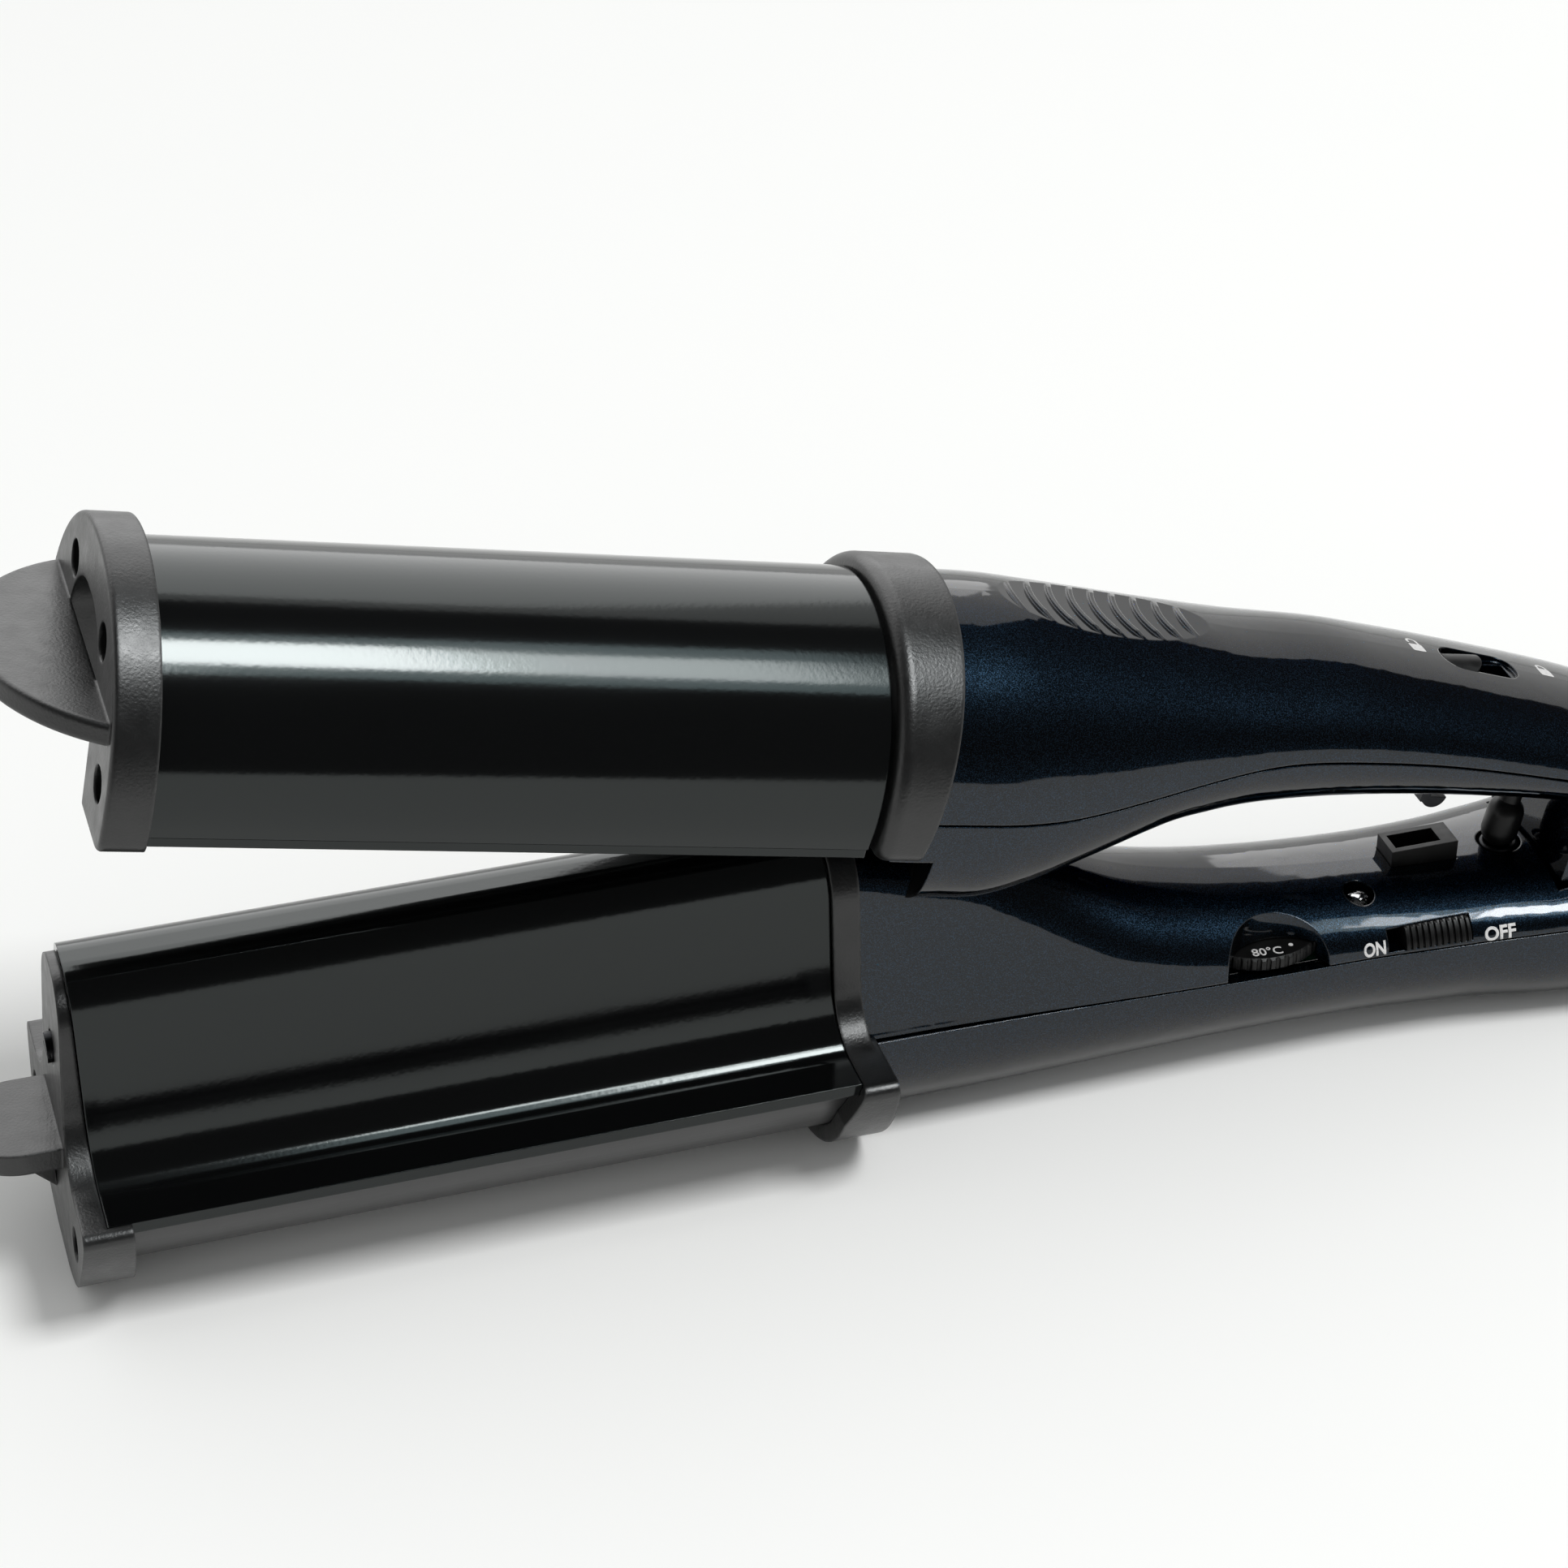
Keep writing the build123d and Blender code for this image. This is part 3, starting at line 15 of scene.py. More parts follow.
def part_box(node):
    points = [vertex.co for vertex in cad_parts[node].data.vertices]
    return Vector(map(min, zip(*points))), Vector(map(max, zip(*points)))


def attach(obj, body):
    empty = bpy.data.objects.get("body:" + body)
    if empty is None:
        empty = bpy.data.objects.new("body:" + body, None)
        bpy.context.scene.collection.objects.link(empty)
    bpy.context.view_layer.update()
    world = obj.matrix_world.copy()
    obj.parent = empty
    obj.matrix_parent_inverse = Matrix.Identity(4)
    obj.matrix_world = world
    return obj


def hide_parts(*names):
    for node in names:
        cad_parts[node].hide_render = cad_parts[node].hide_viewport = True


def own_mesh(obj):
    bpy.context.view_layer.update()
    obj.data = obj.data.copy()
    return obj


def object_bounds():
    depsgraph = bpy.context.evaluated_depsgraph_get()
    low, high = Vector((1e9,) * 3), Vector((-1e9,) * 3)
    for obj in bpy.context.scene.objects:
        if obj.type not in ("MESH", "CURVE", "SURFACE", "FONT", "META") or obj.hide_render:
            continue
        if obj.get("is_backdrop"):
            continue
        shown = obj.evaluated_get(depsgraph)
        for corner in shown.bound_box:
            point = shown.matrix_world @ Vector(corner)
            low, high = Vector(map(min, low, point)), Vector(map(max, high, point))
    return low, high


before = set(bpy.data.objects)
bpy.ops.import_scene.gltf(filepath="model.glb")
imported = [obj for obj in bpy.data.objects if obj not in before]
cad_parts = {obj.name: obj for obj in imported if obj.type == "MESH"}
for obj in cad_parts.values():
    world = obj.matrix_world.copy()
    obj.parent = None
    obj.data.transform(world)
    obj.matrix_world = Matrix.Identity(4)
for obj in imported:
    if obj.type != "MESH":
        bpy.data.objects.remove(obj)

LOG = logging.getLogger("curling_iron")
MM = 0.001
SMOOTH_ANGLE = math.radians(32)
EDGE_SAMPLES = 6
SPECK_CORE = 0.6
FILM = 0.03 * MM
MARK_GRID = 0.3 * MM
MARK_CUTS = 2
MERGE_DISTANCE = 0.001 * MM
LETTER_STEPS = 4
WHITE_LIGHT = (1.0, 1.0, 1.0)
COOL_LIGHT = (0.78, 0.96, 1.0)

# Two spans: where most of a noise lies, and a mask from none to all.
NOISE = (0.3, 0.7)
MASK = (0.0, 1.0)

Colour = tuple[float, float, float, float]
Point = tuple[float, float, float]
Span = tuple[float, float]
Socket = bpy.types.NodeSocket
Feed = Union[Socket, float, tuple]
Flat = bmesh.types.BMesh
Parts = bpy.types.bpy_prop_collection
Piece = bpy.types.Object


class Body(Enum):
    """The bodies that new pieces ride on."""

    LOWER = "lower_arm"
    UPPER = "upper_arm"
    DIAL = "dial"


class Slot(Enum):
    """The material slots of the finishes."""

    CERAMIC = "ceramic_gloss"
    CAP = "cap_matte"
    COVER = "cover_grey"
    NAVY = "navy_pearl"
    CONTROL = "control_black"
    LENS = "clear_lens"
    STEEL = "steel"
    BRONZE = "bronze"
    ALUMINIUM = "spreader_aluminium"
    HEATER = "heater_ceramic"
    BOARD = "board_green"
    RUBBER = "gland_rubber"


class Grain(Enum):
    """How many finer octaves a noise has."""

    FINE = 2.0
    MIXED = 3.0
    CLOUDY = 4.0


class Shackle(Enum):
    """The two states of the padlock mark."""

    CLOSED = "closed"
    OPEN = "open"


class Reach(Enum):
    """What a lamp is for: the gleams that shiny faces show, or the light on matte faces."""

    GLEAM = "gleam"
    MATTE = "matte"


def grey(value: float, blue: float = 1.0) -> Colour:
    """Give a near neutral colour, with its blue channel scaled."""
    return (value, value * (1 + blue) / 2, value * blue, 1.0)


@dataclass(frozen=True)
class Dust:
    """Sparse specks: their radius, the metres from cell to cell, the share of cells with one, a colour."""

    radius: float
    spacing: float
    share: float
    colour: Colour


class ShaderSheet:
    """One material's node tree, with short calls for what the finishes share."""

    def __init__(self, name: str) -> None:
        """Start a material with its surface shader.

        Args:
            name: the material's name.
        """
        self.material = bpy.data.materials.new(name)
        self.material.use_nodes = True
        self.tree = self.material.node_tree
        self.shader = self.tree.nodes["Principled BSDF"]
        self.place = self.node("ShaderNodeTexCoord").outputs["Object"]

    def node(self, kind: str, inputs: Optional[dict] = None, **settings: object) -> bpy.types.Node:
        """Add a node.

        Args:
            kind: the node type's name.
            inputs: values or sockets by input name or number.
            **settings: properties of the node.

        Returns:
            The new node.
        """
        made = self.tree.nodes.new(kind)
        for key, value in settings.items():
            setattr(made, key, value)
        for key, value in (inputs or {}).items():
            self.feed(made.inputs[key], value)
        return made

    def feed(self, socket: Socket, value: Feed) -> None:
        """Link a socket, or set a plain value, on an input.

        Args:
            socket: the input.
            value: what it gets.
        """
        if isinstance(value, Socket):
            self.tree.links.new(value, socket)
        else:
            socket.default_value = value

    def surface(self, **values: Feed) -> None:
        """Set inputs of the surface shader, with underscores for the spaces in their names."""
        for key, value in values.items():
            self.feed(self.shader.inputs[key.replace("_", " ")], value)

    def noise(self, size: float, grain: Grain = Grain.FINE, stretch: Point = (1, 1, 1)) -> Socket:
        """Give a noise of about that feature size.

        Args:
            size: metres from one blot to the next.
            grain: how much finer detail is added.
            stretch: how much longer the blots are along each axis.

        Returns:
            The noise value, from 0 to 1.
        """
        scale = tuple(1 / (size * s) for s in stretch)
        spot = self.node("ShaderNodeMapping", {"Vector": self.place, "Scale": scale}).outputs["Vector"]
        inputs = {"Vector": spot, "Scale": 1.0, "Detail": grain.value}
        return self.node("ShaderNodeTexNoise", inputs).outputs["Fac"]

    def cells(self, size: float) -> bpy.types.Node:
        """Give a node of random cells of about that size in metres."""
        return self.node("ShaderNodeTexVoronoi", {"Vector": self.place, "Scale": 1 / size})

    def remap(self, value: Feed, span: Span, target: Span) -> Socket:
        """Map a span of a value to another span, held at its ends."""
        ends = dict(zip(("From Min", "From Max", "To Min", "To Max"), (*span, *target)))
        return self.node("ShaderNodeMapRange", {"Value": value, **ends}).outputs["Result"]

    def maths(self, operation: str, first: Feed, second: Feed) -> Socket:
        """Combine two values by a named operation."""
        return self.node("ShaderNodeMath", {0: first, 1: second}, operation=operation).outputs["Value"]

    def mix(self, factor: Feed, first: Feed, second: Feed) -> Socket:
        """Mix two colours.

        Args:
            factor: the share of the second colour.
            first: a colour.
            second: a colour.

        Returns:
            The mixed colour.
        """
        made = self.node("ShaderNodeMix", data_type="RGBA")
        colours = [socket for socket in made.inputs if socket.type == "RGBA"]
        self.feed(made.inputs[0], factor)
        self.feed(colours[0], first)
        self.feed(colours[1], second)
        return next(socket for socket in made.outputs if socket.type == "RGBA")

    def bump(self, height: Socket, depth: float, normal: Optional[Socket] = None) -> Socket:
        """Turn a height from 0 to 1 into a normal.

        Args:
            height: the height.
            depth: metres that a height of 1 stands for.
            normal: a normal to add the bump to.

        Returns:
            The bumped normal.
        """
        inputs = {"Height": height, "Distance": depth, "Strength": 1.0}
        if normal is not None:
            inputs["Normal"] = normal
        return self.node("ShaderNodeBump", inputs).outputs["Normal"]

    def rounded(self, radius: float) -> Socket:
        """Give a normal that rounds edges over a radius in metres."""
        return self.node("ShaderNodeBevel", {"Radius": radius}, samples=EDGE_SAMPLES).outputs["Normal"]

    def split(self, vector: Socket) -> Parts:
        """Split a vector into its parts by axis."""
        return self.node("ShaderNodeSeparateXYZ", {"Vector": vector}).outputs

    def sideways(self, parts: Parts, turn: Span) -> Socket:
        """Give a mask of where a normal's parts point to either side."""
        return self.remap(self.maths("ABSOLUTE", parts["Y"], 0.0), turn, MASK)

    def lowered(self, parts: Parts, drop: Socket) -> Socket:
        """Take a drop off a normal's upward part.

        Args:
            parts: the normal's parts by axis.
            drop: what to take off.

        Returns:
            The new normal, of unit length.
        """
        upward = self.maths("SUBTRACT", parts["Z"], drop)
        joined = {"X": parts["X"], "Y": parts["Y"], "Z": upward}
        leant = self.node("ShaderNodeCombineXYZ", joined).outputs["Vector"]
        return self.node("ShaderNodeVectorMath", {0: leant}, operation="NORMALIZE").outputs["Vector"]

    def edges(self, radius: float, turn: float) -> Socket:
        """Give a mask of the piece's edges.

        Args:
            radius: metres from an edge that the mask reaches.
            turn: how far the normal has turned where the mask is 1.

        Returns:
            The mask, 1 at the edges.
        """
        true = self.node("ShaderNodeNewGeometry").outputs["Normal"]
        inputs = {0: self.rounded(radius), 1: true}
        turned = self.node("ShaderNodeVectorMath", inputs, operation="DOT_PRODUCT").outputs["Value"]
        return self.remap(turned, (1.0, 1.0 - turn), MASK)

    def specks(self, dust: Dust) -> Socket:
        """Give sparse round specks.

        Args:
            dust: their size, spacing and share.

        Returns:
            The mask, 1 on a speck.
        """
        cell = self.cells(dust.spacing)
        rim = dust.radius / dust.spacing
        near = self.remap(cell.outputs["Distance"], (rim, SPECK_CORE * rim), MASK)
        drawn = self.node("ShaderNodeSeparateColor", {"Color": cell.outputs["Color"]}).outputs[0]
        return self.maths("MULTIPLY", near, self.maths("LESS_THAN", drawn, dust.share))


@dataclass(frozen=True)
class Finish:
    """What every finish has: its name, its slot, and a radius for those that soften their edges."""

    name: str
    slot: Slot
    edge_radius: float = 0.3 * MM

    def paint(self, sheet: ShaderSheet) -> None:
        """Set up the nodes of this finish."""
        raise NotImplementedError

    def edge_normal(self, sheet: ShaderSheet) -> Socket:
        """Give the normal that the finish lies on, with soft edges."""
        return sheet.rounded(self.edge_radius)

    def build(self) -> bpy.types.Material:
        """Make the material, once.

        Returns:
            The material.
        """
        made = bpy.data.materials.get(self.name)
        if made is None:
            sheet = ShaderSheet(self.name)
            self.paint(sheet)
            made = sheet.material
        return made


@dataclass(frozen=True)
class GlossCeramic(Finish):
    """Black ceramic enamel of the heated faces: deep gloss with a faint orange peel."""

    colour: Colour = grey(0.0022, 1.15)
    roughness: Span = (0.09, 0.13)
    ior: float = 1.47
    tint: Colour = (0.93, 1.0, 0.99, 1.0)
    cloud_size: float = 14 * MM
    cloud_stretch: Point = (3, 1, 1)
    peel_size: float = 0.6 * MM
    peel_depth: float = 0.005 * MM
    edge_radius: float = 0.25 * MM
    dust: Dust = Dust(0.11 * MM, 7 * MM, 0.05, grey(0.10))

    def paint(self, sheet: ShaderSheet) -> None:
        """Set up gloss with cloudy roughness, a peel and a little dust.

        Args:
            sheet: the nodes.
        """
        cloud = sheet.noise(self.cloud_size, Grain.MIXED, self.cloud_stretch)
        dust = sheet.specks(self.dust)
        peel = sheet.noise(self.peel_size)
        sheet.surface(
            Base_Color=sheet.mix(dust, self.colour, self.dust.colour),
            Roughness=sheet.remap(cloud, NOISE, self.roughness),
            IOR=self.ior,
            Specular_Tint=self.tint,
            Normal=sheet.bump(peel, self.peel_depth, self.edge_normal(sheet)),
        )


@dataclass(frozen=True)
class RidgeCeramic(GlossCeramic):
    """The enamel on the lower arm's ridge, whose shoulder and foot turn more sharply in the light."""

    foot_top: float = 24.0 * MM
    fade: float = 2.0 * MM
    side_turn: Span = (0.44, 0.47)
    steeper: float = 0.6

    def edge_normal(self, sheet: ShaderSheet) -> Socket:
        """Steepen the normal on the ridge's sides and along its foot.

        Args:
            sheet: the nodes.

        Returns:
            The normal that the enamel lies on.
        """
        height = sheet.split(sheet.place)["Z"]
        normal = sheet.split(super().edge_normal(sheet))
        foot = sheet.remap(height, (self.foot_top, self.foot_top - self.fade), MASK)
        side = sheet.sideways(normal, self.side_turn)
        share = sheet.maths("MULTIPLY", sheet.maths("MAXIMUM", foot, side), self.steeper)
        return sheet.lowered(normal, sheet.maths("MULTIPLY", normal["Z"], share))


@dataclass(frozen=True)
class GrainedPlastic(Finish):
    """Heat-proof matte black moulding, grained, with paler rubbed edges."""

    colour: Colour = grey(0.0052, 1.06)
    rubbed: Colour = grey(0.034, 1.02)
    roughness: Span = (0.31, 0.40)
    ior: float = 1.58
    grain_size: float = 0.34 * MM
    grain_depth: float = 0.034 * MM
    mottle_size: float = 2.2 * MM
    blot_size: float = 0.9 * MM
    blot_span: Span = (0.35, 0.65)
    blot_share: Span = (0.25, 1.0)
    edge_radius: float = 0.5 * MM
    edge_turn: float = 0.22

    def paint(self, sheet: ShaderSheet) -> None:
        """Set up grain, a mottled sheen and rubbed edges.

        Args:
            sheet: the nodes.
        """
        grain = sheet.noise(self.grain_size, Grain.MIXED)
        mottle = sheet.noise(self.mottle_size, Grain.CLOUDY)
        blot = sheet.remap(sheet.noise(self.blot_size, Grain.MIXED), self.blot_span, self.blot_share)
        rub = sheet.maths("MULTIPLY", sheet.edges(self.edge_radius, self.edge_turn), blot)
        sheet.surface(
            Base_Color=sheet.mix(rub, self.colour, self.rubbed),
            Roughness=sheet.remap(mottle, NOISE, self.roughness),
            IOR=self.ior,
            Normal=sheet.bump(grain, self.grain_depth, self.edge_normal(sheet)),
        )


@dataclass(frozen=True)
class SatinCover(Finish):
    """Dark grey satin moulding of the belly, with fine lengthwise drag marks."""

    colour: Colour = grey(0.020, 1.03)
    scuffed: Colour = grey(0.034)
    roughness: Span = (0.30, 0.40)
    ior: float = 1.52
    drag_size: float = 0.35 * MM
    drag_stretch: Point = (40, 1, 1)
    drag_span: Span = (0.35, 0.7)
    drag_share: Span = (0.0, 0.35)
    grain_size: float = 0.14 * MM
    grain_depth: float = 0.004 * MM

    def paint(self, sheet: ShaderSheet) -> None:
        """Set up satin with marks that run along the arm.

        Args:
            sheet: the nodes.
        """
        drag = sheet.noise(self.drag_size, Grain.MIXED, self.drag_stretch)
        scuff = sheet.remap(drag, self.drag_span, self.drag_share)
        grain = sheet.noise(self.grain_size)
        sheet.surface(
            Base_Color=sheet.mix(scuff, self.colour, self.scuffed),
            Roughness=sheet.remap(drag, NOISE, self.roughness),
            IOR=self.ior,
            Normal=sheet.bump(grain, self.grain_depth, self.edge_normal(sheet)),
        )


@dataclass(frozen=True)
class PearlLacquer(Finish):
    """Navy pearl lacquer of the handles: fine flakes under a clear coat."""

    colour: Colour = (0.0022, 0.0050, 0.0085, 1.0)
    flake: Colour = (0.015, 0.032, 0.055, 1.0)
    rim: Colour = (0.02, 0.05, 0.10, 1.0)
    roughness: float = 0.31
    ior: float = 1.5
    flake_size: float = 0.09 * MM
    flake_tilt: float = 0.006 * MM
    flake_span: Span = (0.55, 1.0)
    coat_roughness: float = 0.05
    coat_ior: float = 1.44
    peel_size: float = 1.9 * MM
    peel_depth: float = 0.0012 * MM
    dust: Dust = Dust(0.12 * MM, 5 * MM, 0.06, grey(0.16))

    def paint(self, sheet: ShaderSheet) -> None:
        """Set up flakes that catch the light, a clear coat, and a little dust.

        Args:
            sheet: the nodes.
        """
        cell = sheet.cells(self.flake_size)
        drawn = sheet.node("ShaderNodeSeparateColor", {"Color": cell.outputs["Color"]}).outputs
        bright = sheet.remap(drawn[0], self.flake_span, MASK)
        soft = self.edge_normal(sheet)
        dust = sheet.specks(self.dust)
        lacquer = sheet.mix(bright, self.colour, self.flake)
        sheet.surface(
            Base_Color=sheet.mix(dust, lacquer, self.dust.colour),
            Metallic=sheet.remap(dust, MASK, (1.0, 0.0)),
            Specular_Tint=self.rim,
            Roughness=self.roughness,
            IOR=self.ior,
            Normal=sheet.bump(drawn[1], self.flake_tilt, soft),
            Coat_Weight=1.0,
            Coat_Roughness=self.coat_roughness,
            Coat_IOR=self.coat_ior,
            Coat_Normal=sheet.bump(sheet.noise(self.peel_size), self.peel_depth, soft),
        )


@dataclass(frozen=True)
class FlankLacquer(PearlLacquer):
    """The lacquer on the lower handle, whose flanks stand steeper to the light ahead of the dial."""

    flank_top: float = 38.6 * MM
    flank_fall: float = 0.434
    fade: float = 5.0 * MM
    side_turn: Span = (0.25, 0.45)
    lean: float = 0.16

    def edge_normal(self, sheet: ShaderSheet) -> Socket:
        """Hold down the upward lean of the normal on the flanks.

        Args:
            sheet: the nodes.

        Returns:
            The normal that the lacquer lies on.
        """
        place = sheet.split(sheet.place)
        normal = sheet.split(super().edge_normal(sheet))
        height = sheet.maths("ADD", place["Z"], sheet.maths("MULTIPLY", place["X"], self.flank_fall))
        below = sheet.remap(height, (self.flank_top, self.flank_top - self.fade), MASK)
        held = sheet.maths("MINIMUM", normal["Z"], self.lean)
        share = sheet.maths("MULTIPLY", below, sheet.sideways(normal, self.side_turn))
        drop = sheet.maths("MULTIPLY", sheet.maths("SUBTRACT", normal["Z"], held), share)
        return sheet.lowered(normal, drop)


@dataclass(frozen=True)
class ControlPlastic(Finish):
    """Half-gloss black moulding of the knobs, with handled edges."""

    colour: Colour = grey(0.0035)
    rubbed: Colour = grey(0.016)
    roughness: Span = (0.30, 0.42)
    gloss: float = 0.3
    wear_size: float = 1.3 * MM
    wear_span: Span = (0.2, 1.0)
    grain_size: float = 0.11 * MM
    grain_depth: float = 0.004 * MM
    rub_radius: float = 0.12 * MM
    rub_turn: float = 0.25
    edge_radius: float = 0.14 * MM

    def paint(self, sheet: ShaderSheet) -> None:
        """Set up half gloss, a fine grain and rubbed edges.

        Args:
            sheet: the nodes.
        """
        wear = sheet.remap(sheet.noise(self.wear_size, Grain.MIXED), NOISE, self.wear_span)
        rub = sheet.maths("MULTIPLY", sheet.edges(self.rub_radius, self.rub_turn), wear)
        grain = sheet.noise(self.grain_size)
        sheet.surface(
            Base_Color=sheet.mix(rub, self.colour, self.rubbed),
            Roughness=sheet.remap(wear, self.wear_span, self.roughness),
            Specular_IOR_Level=self.gloss,
            Normal=sheet.bump(grain, self.grain_depth, self.edge_normal(sheet)),
        )


@dataclass(frozen=True)
class ClearLens(Finish):
    """Clear moulded lens of the pilot light, with faint flow marks."""

    colour: Colour = (0.86, 0.88, 0.90, 1.0)
    streak: Colour = grey(0.80)
    roughness: Span = (0.02, 0.07)
    ior: float = 1.49
    flow_size: float = 0.8 * MM

    def paint(self, sheet: ShaderSheet) -> None:
        """Set up clear plastic whose gloss varies a little.

        Args:
            sheet: the nodes.
        """
        flow = sheet.noise(self.flow_size)
        sheet.surface(
            Base_Color=sheet.mix(sheet.remap(flow, NOISE, MASK), self.colour, self.streak),
            Roughness=sheet.remap(flow, NOISE, self.roughness),
            IOR=self.ior,
            Transmission_Weight=1.0,
        )


@dataclass(frozen=True)
class TurnedMetal(Finish):
    """A metal with fine machining marks and mottled tone."""

    colour: Colour = (0.55, 0.56, 0.57, 1.0)
    dull: Colour = (0.36, 0.37, 0.38, 1.0)
    roughness: Span = (0.22, 0.38)
    mark_size: float = 0.22 * MM
    mark_depth: float = 0.003 * MM
    mark_stretch: Point = (1, 12, 1)
    mottle_size: float = 3 * MM
    mottle_span: Span = (0.3, 0.75)
    edge_radius: float = 0.15 * MM

    def paint(self, sheet: ShaderSheet) -> None:
        """Set up bright metal with marks across the long axis.

        Args:
            sheet: the nodes.
        """
        mark = sheet.noise(self.mark_size, Grain.FINE, self.mark_stretch)
        mottle = sheet.remap(sheet.noise(self.mottle_size, Grain.CLOUDY), self.mottle_span, MASK)
        sheet.surface(
            Base_Color=sheet.mix(mottle, self.colour, self.dull),
            Metallic=1.0,
            Roughness=sheet.remap(mark, NOISE, self.roughness),
            Normal=sheet.bump(mark, self.mark_depth, self.edge_normal(sheet)),
        )


@dataclass(frozen=True)
class FiredCeramic(Finish):
    """Pale fired ceramic of the heaters, chalky and specked."""

    colour: Colour = (0.74, 0.72, 0.66, 1.0)
    fleck: Colour = (0.52, 0.48, 0.42, 1.0)
    roughness: Span = (0.55, 0.75)
    fleck_size: float = 0.5 * MM
    fleck_span: Span = (0.58, 0.72)
    grain_size: float = 0.12 * MM
    grain_depth: float = 0.006 * MM

    def paint(self, sheet: ShaderSheet) -> None:
        """Set up a chalky grain and brown flecks.

        Args:
            sheet: the nodes.
        """
        flecks = sheet.remap(sheet.noise(self.fleck_size, Grain.CLOUDY), self.fleck_span, MASK)
        grain = sheet.noise(self.grain_size)
        sheet.surface(
            Base_Color=sheet.mix(flecks, self.colour, self.fleck),
            Roughness=sheet.remap(grain, NOISE, self.roughness),
            Normal=sheet.bump(grain, self.grain_depth),
        )


@dataclass(frozen=True)
class BoardLaminate(Finish):
    """Green circuit board laminate with its woven glass showing through."""

    colour: Colour = (0.012, 0.075, 0.032, 1.0)
    thread: Colour = (0.020, 0.105, 0.048, 1.0)
    roughness: Span = (0.28, 0.36)
    ior: float = 1.5
    weave_scale: float = 700.0

    def paint(self, sheet: ShaderSheet) -> None:
        """Set up solder resist over a plain weave.

        Args:
            sheet: the nodes.
        """
        bands = {"Vector": sheet.place, "Scale": self.weave_scale}
        warp, weft = (sheet.node("ShaderNodeTexWave", bands, bands_direction=axis) for axis in "XY")
        weave = sheet.maths("MULTIPLY", warp.outputs["Fac"], weft.outputs["Fac"])
        sheet.surface(
            Base_Color=sheet.mix(weave, self.colour, self.thread),
            Roughness=sheet.remap(weave, MASK, self.roughness),
            IOR=self.ior,
        )


@dataclass(frozen=True)
class SoftRubber(Finish):
    """Black rubber of the gland, dull with a bloom."""

    colour: Colour = grey(0.010)
    bloom: Colour = grey(0.024)
    roughness: Span = (0.5, 0.7)
    cloud_size: float = 2.5 * MM
    cloud_span: Span = (0.35, 0.7)
    grain_size: float = 0.2 * MM
    grain_depth: float = 0.008 * MM

    def paint(self, sheet: ShaderSheet) -> None:
        """Set up dull rubber with a cloudy bloom.

        Args:
            sheet: the nodes.
        """
        cloud = sheet.remap(sheet.noise(self.cloud_size, Grain.CLOUDY), self.cloud_span, MASK)
        grain = sheet.noise(self.grain_size)
        sheet.surface(
            Base_Color=sheet.mix(cloud, self.colour, self.bloom),
            Roughness=sheet.remap(cloud, MASK, self.roughness),
            Normal=sheet.bump(grain, self.grain_depth, self.edge_normal(sheet)),
        )


@dataclass(frozen=True)
class PrintInk(Finish):
    """Pad-printed ink, a little thin in places."""

    colour: Colour = grey(0.62, 0.99)
    thin: Colour = grey(0.34, 1.04)
    roughness: Span = (0.42, 0.55)
    patch_size: float = 0.22 * MM
    patch_span: Span = (0.52, 0.72)
    patch_share: Span = (0.0, 0.7)

    def paint(self, sheet: ShaderSheet) -> None:
        """Set up pale ink with thin patches.

        Args:
            sheet: the nodes.
        """
        patch = sheet.remap(sheet.noise(self.patch_size, Grain.MIXED), self.patch_span, self.patch_share)
        sheet.surface(
            Base_Color=sheet.mix(patch, self.colour, self.thin),
            Roughness=sheet.remap(patch, self.patch_share, self.roughness),
        )


@dataclass(frozen=True)
class Finishes:
    """The set of finishes of this iron."""

    ceramic: Finish = GlossCeramic("black_ceramic", Slot.CERAMIC)
    ridge: Finish = RidgeCeramic("ridge_black", Slot.CERAMIC)
    cap: Finish = GrainedPlastic("grained_black", Slot.CAP)
    cover: Finish = SatinCover("satin_grey", Slot.COVER)
    navy: Finish = PearlLacquer("navy_pearl_lacquer", Slot.NAVY)
    flank: Finish = FlankLacquer("navy_pearl_flank", Slot.NAVY)
    control: Finish = ControlPlastic("half_gloss_black", Slot.CONTROL)
    lens: Finish = ClearLens("clear_plastic", Slot.LENS)
    steel: Finish = TurnedMetal("bright_steel", Slot.STEEL)
    bronze: Finish = TurnedMetal(
        "sintered_bronze",
        Slot.BRONZE,
        colour=(0.46, 0.27, 0.12, 1.0),
        dull=(0.30, 0.17, 0.08, 1.0),
        roughness=(0.34, 0.5),
    )
    aluminium: Finish = TurnedMetal(
        "cast_aluminium",
        Slot.ALUMINIUM,
        colour=(0.66, 0.67, 0.68, 1.0),
        dull=(0.5, 0.51, 0.52, 1.0),
        roughness=(0.38, 0.55),
        mark_size=0.3 * MM,
    )
    heater: Finish = FiredCeramic("fired_ceramic", Slot.HEATER)
    board: Finish = BoardLaminate("board_laminate", Slot.BOARD)
    rubber: Finish = SoftRubber("soft_rubber", Slot.RUBBER)
    # Dark steel whose darkness is partly painted shade: it darkens the cap screws deep in their holes, the
    # opening spring in its well and the lock hook under the upper handle.
    dark_steel: Finish = TurnedMetal(
        "dark_steel_and_painted_shade",
        Slot.STEEL,
        colour=(0.035, 0.036, 0.038, 1.0),
        dull=(0.018, 0.018, 0.02, 1.0),
        roughness=(0.3, 0.45),
    )
    ink: Finish = PrintInk("white_ink", Slot.LENS)


def add_object(name: str, data: bpy.types.ID) -> Piece:
    """Put new data into the scene.

    Args:
        name: the object's name.
        data: its mesh, lettering, lamp or lens.

    Returns:
        The object.
    """
    made = bpy.data.objects.new(name, data)
    bpy.context.scene.collection.objects.link(made)
    return made


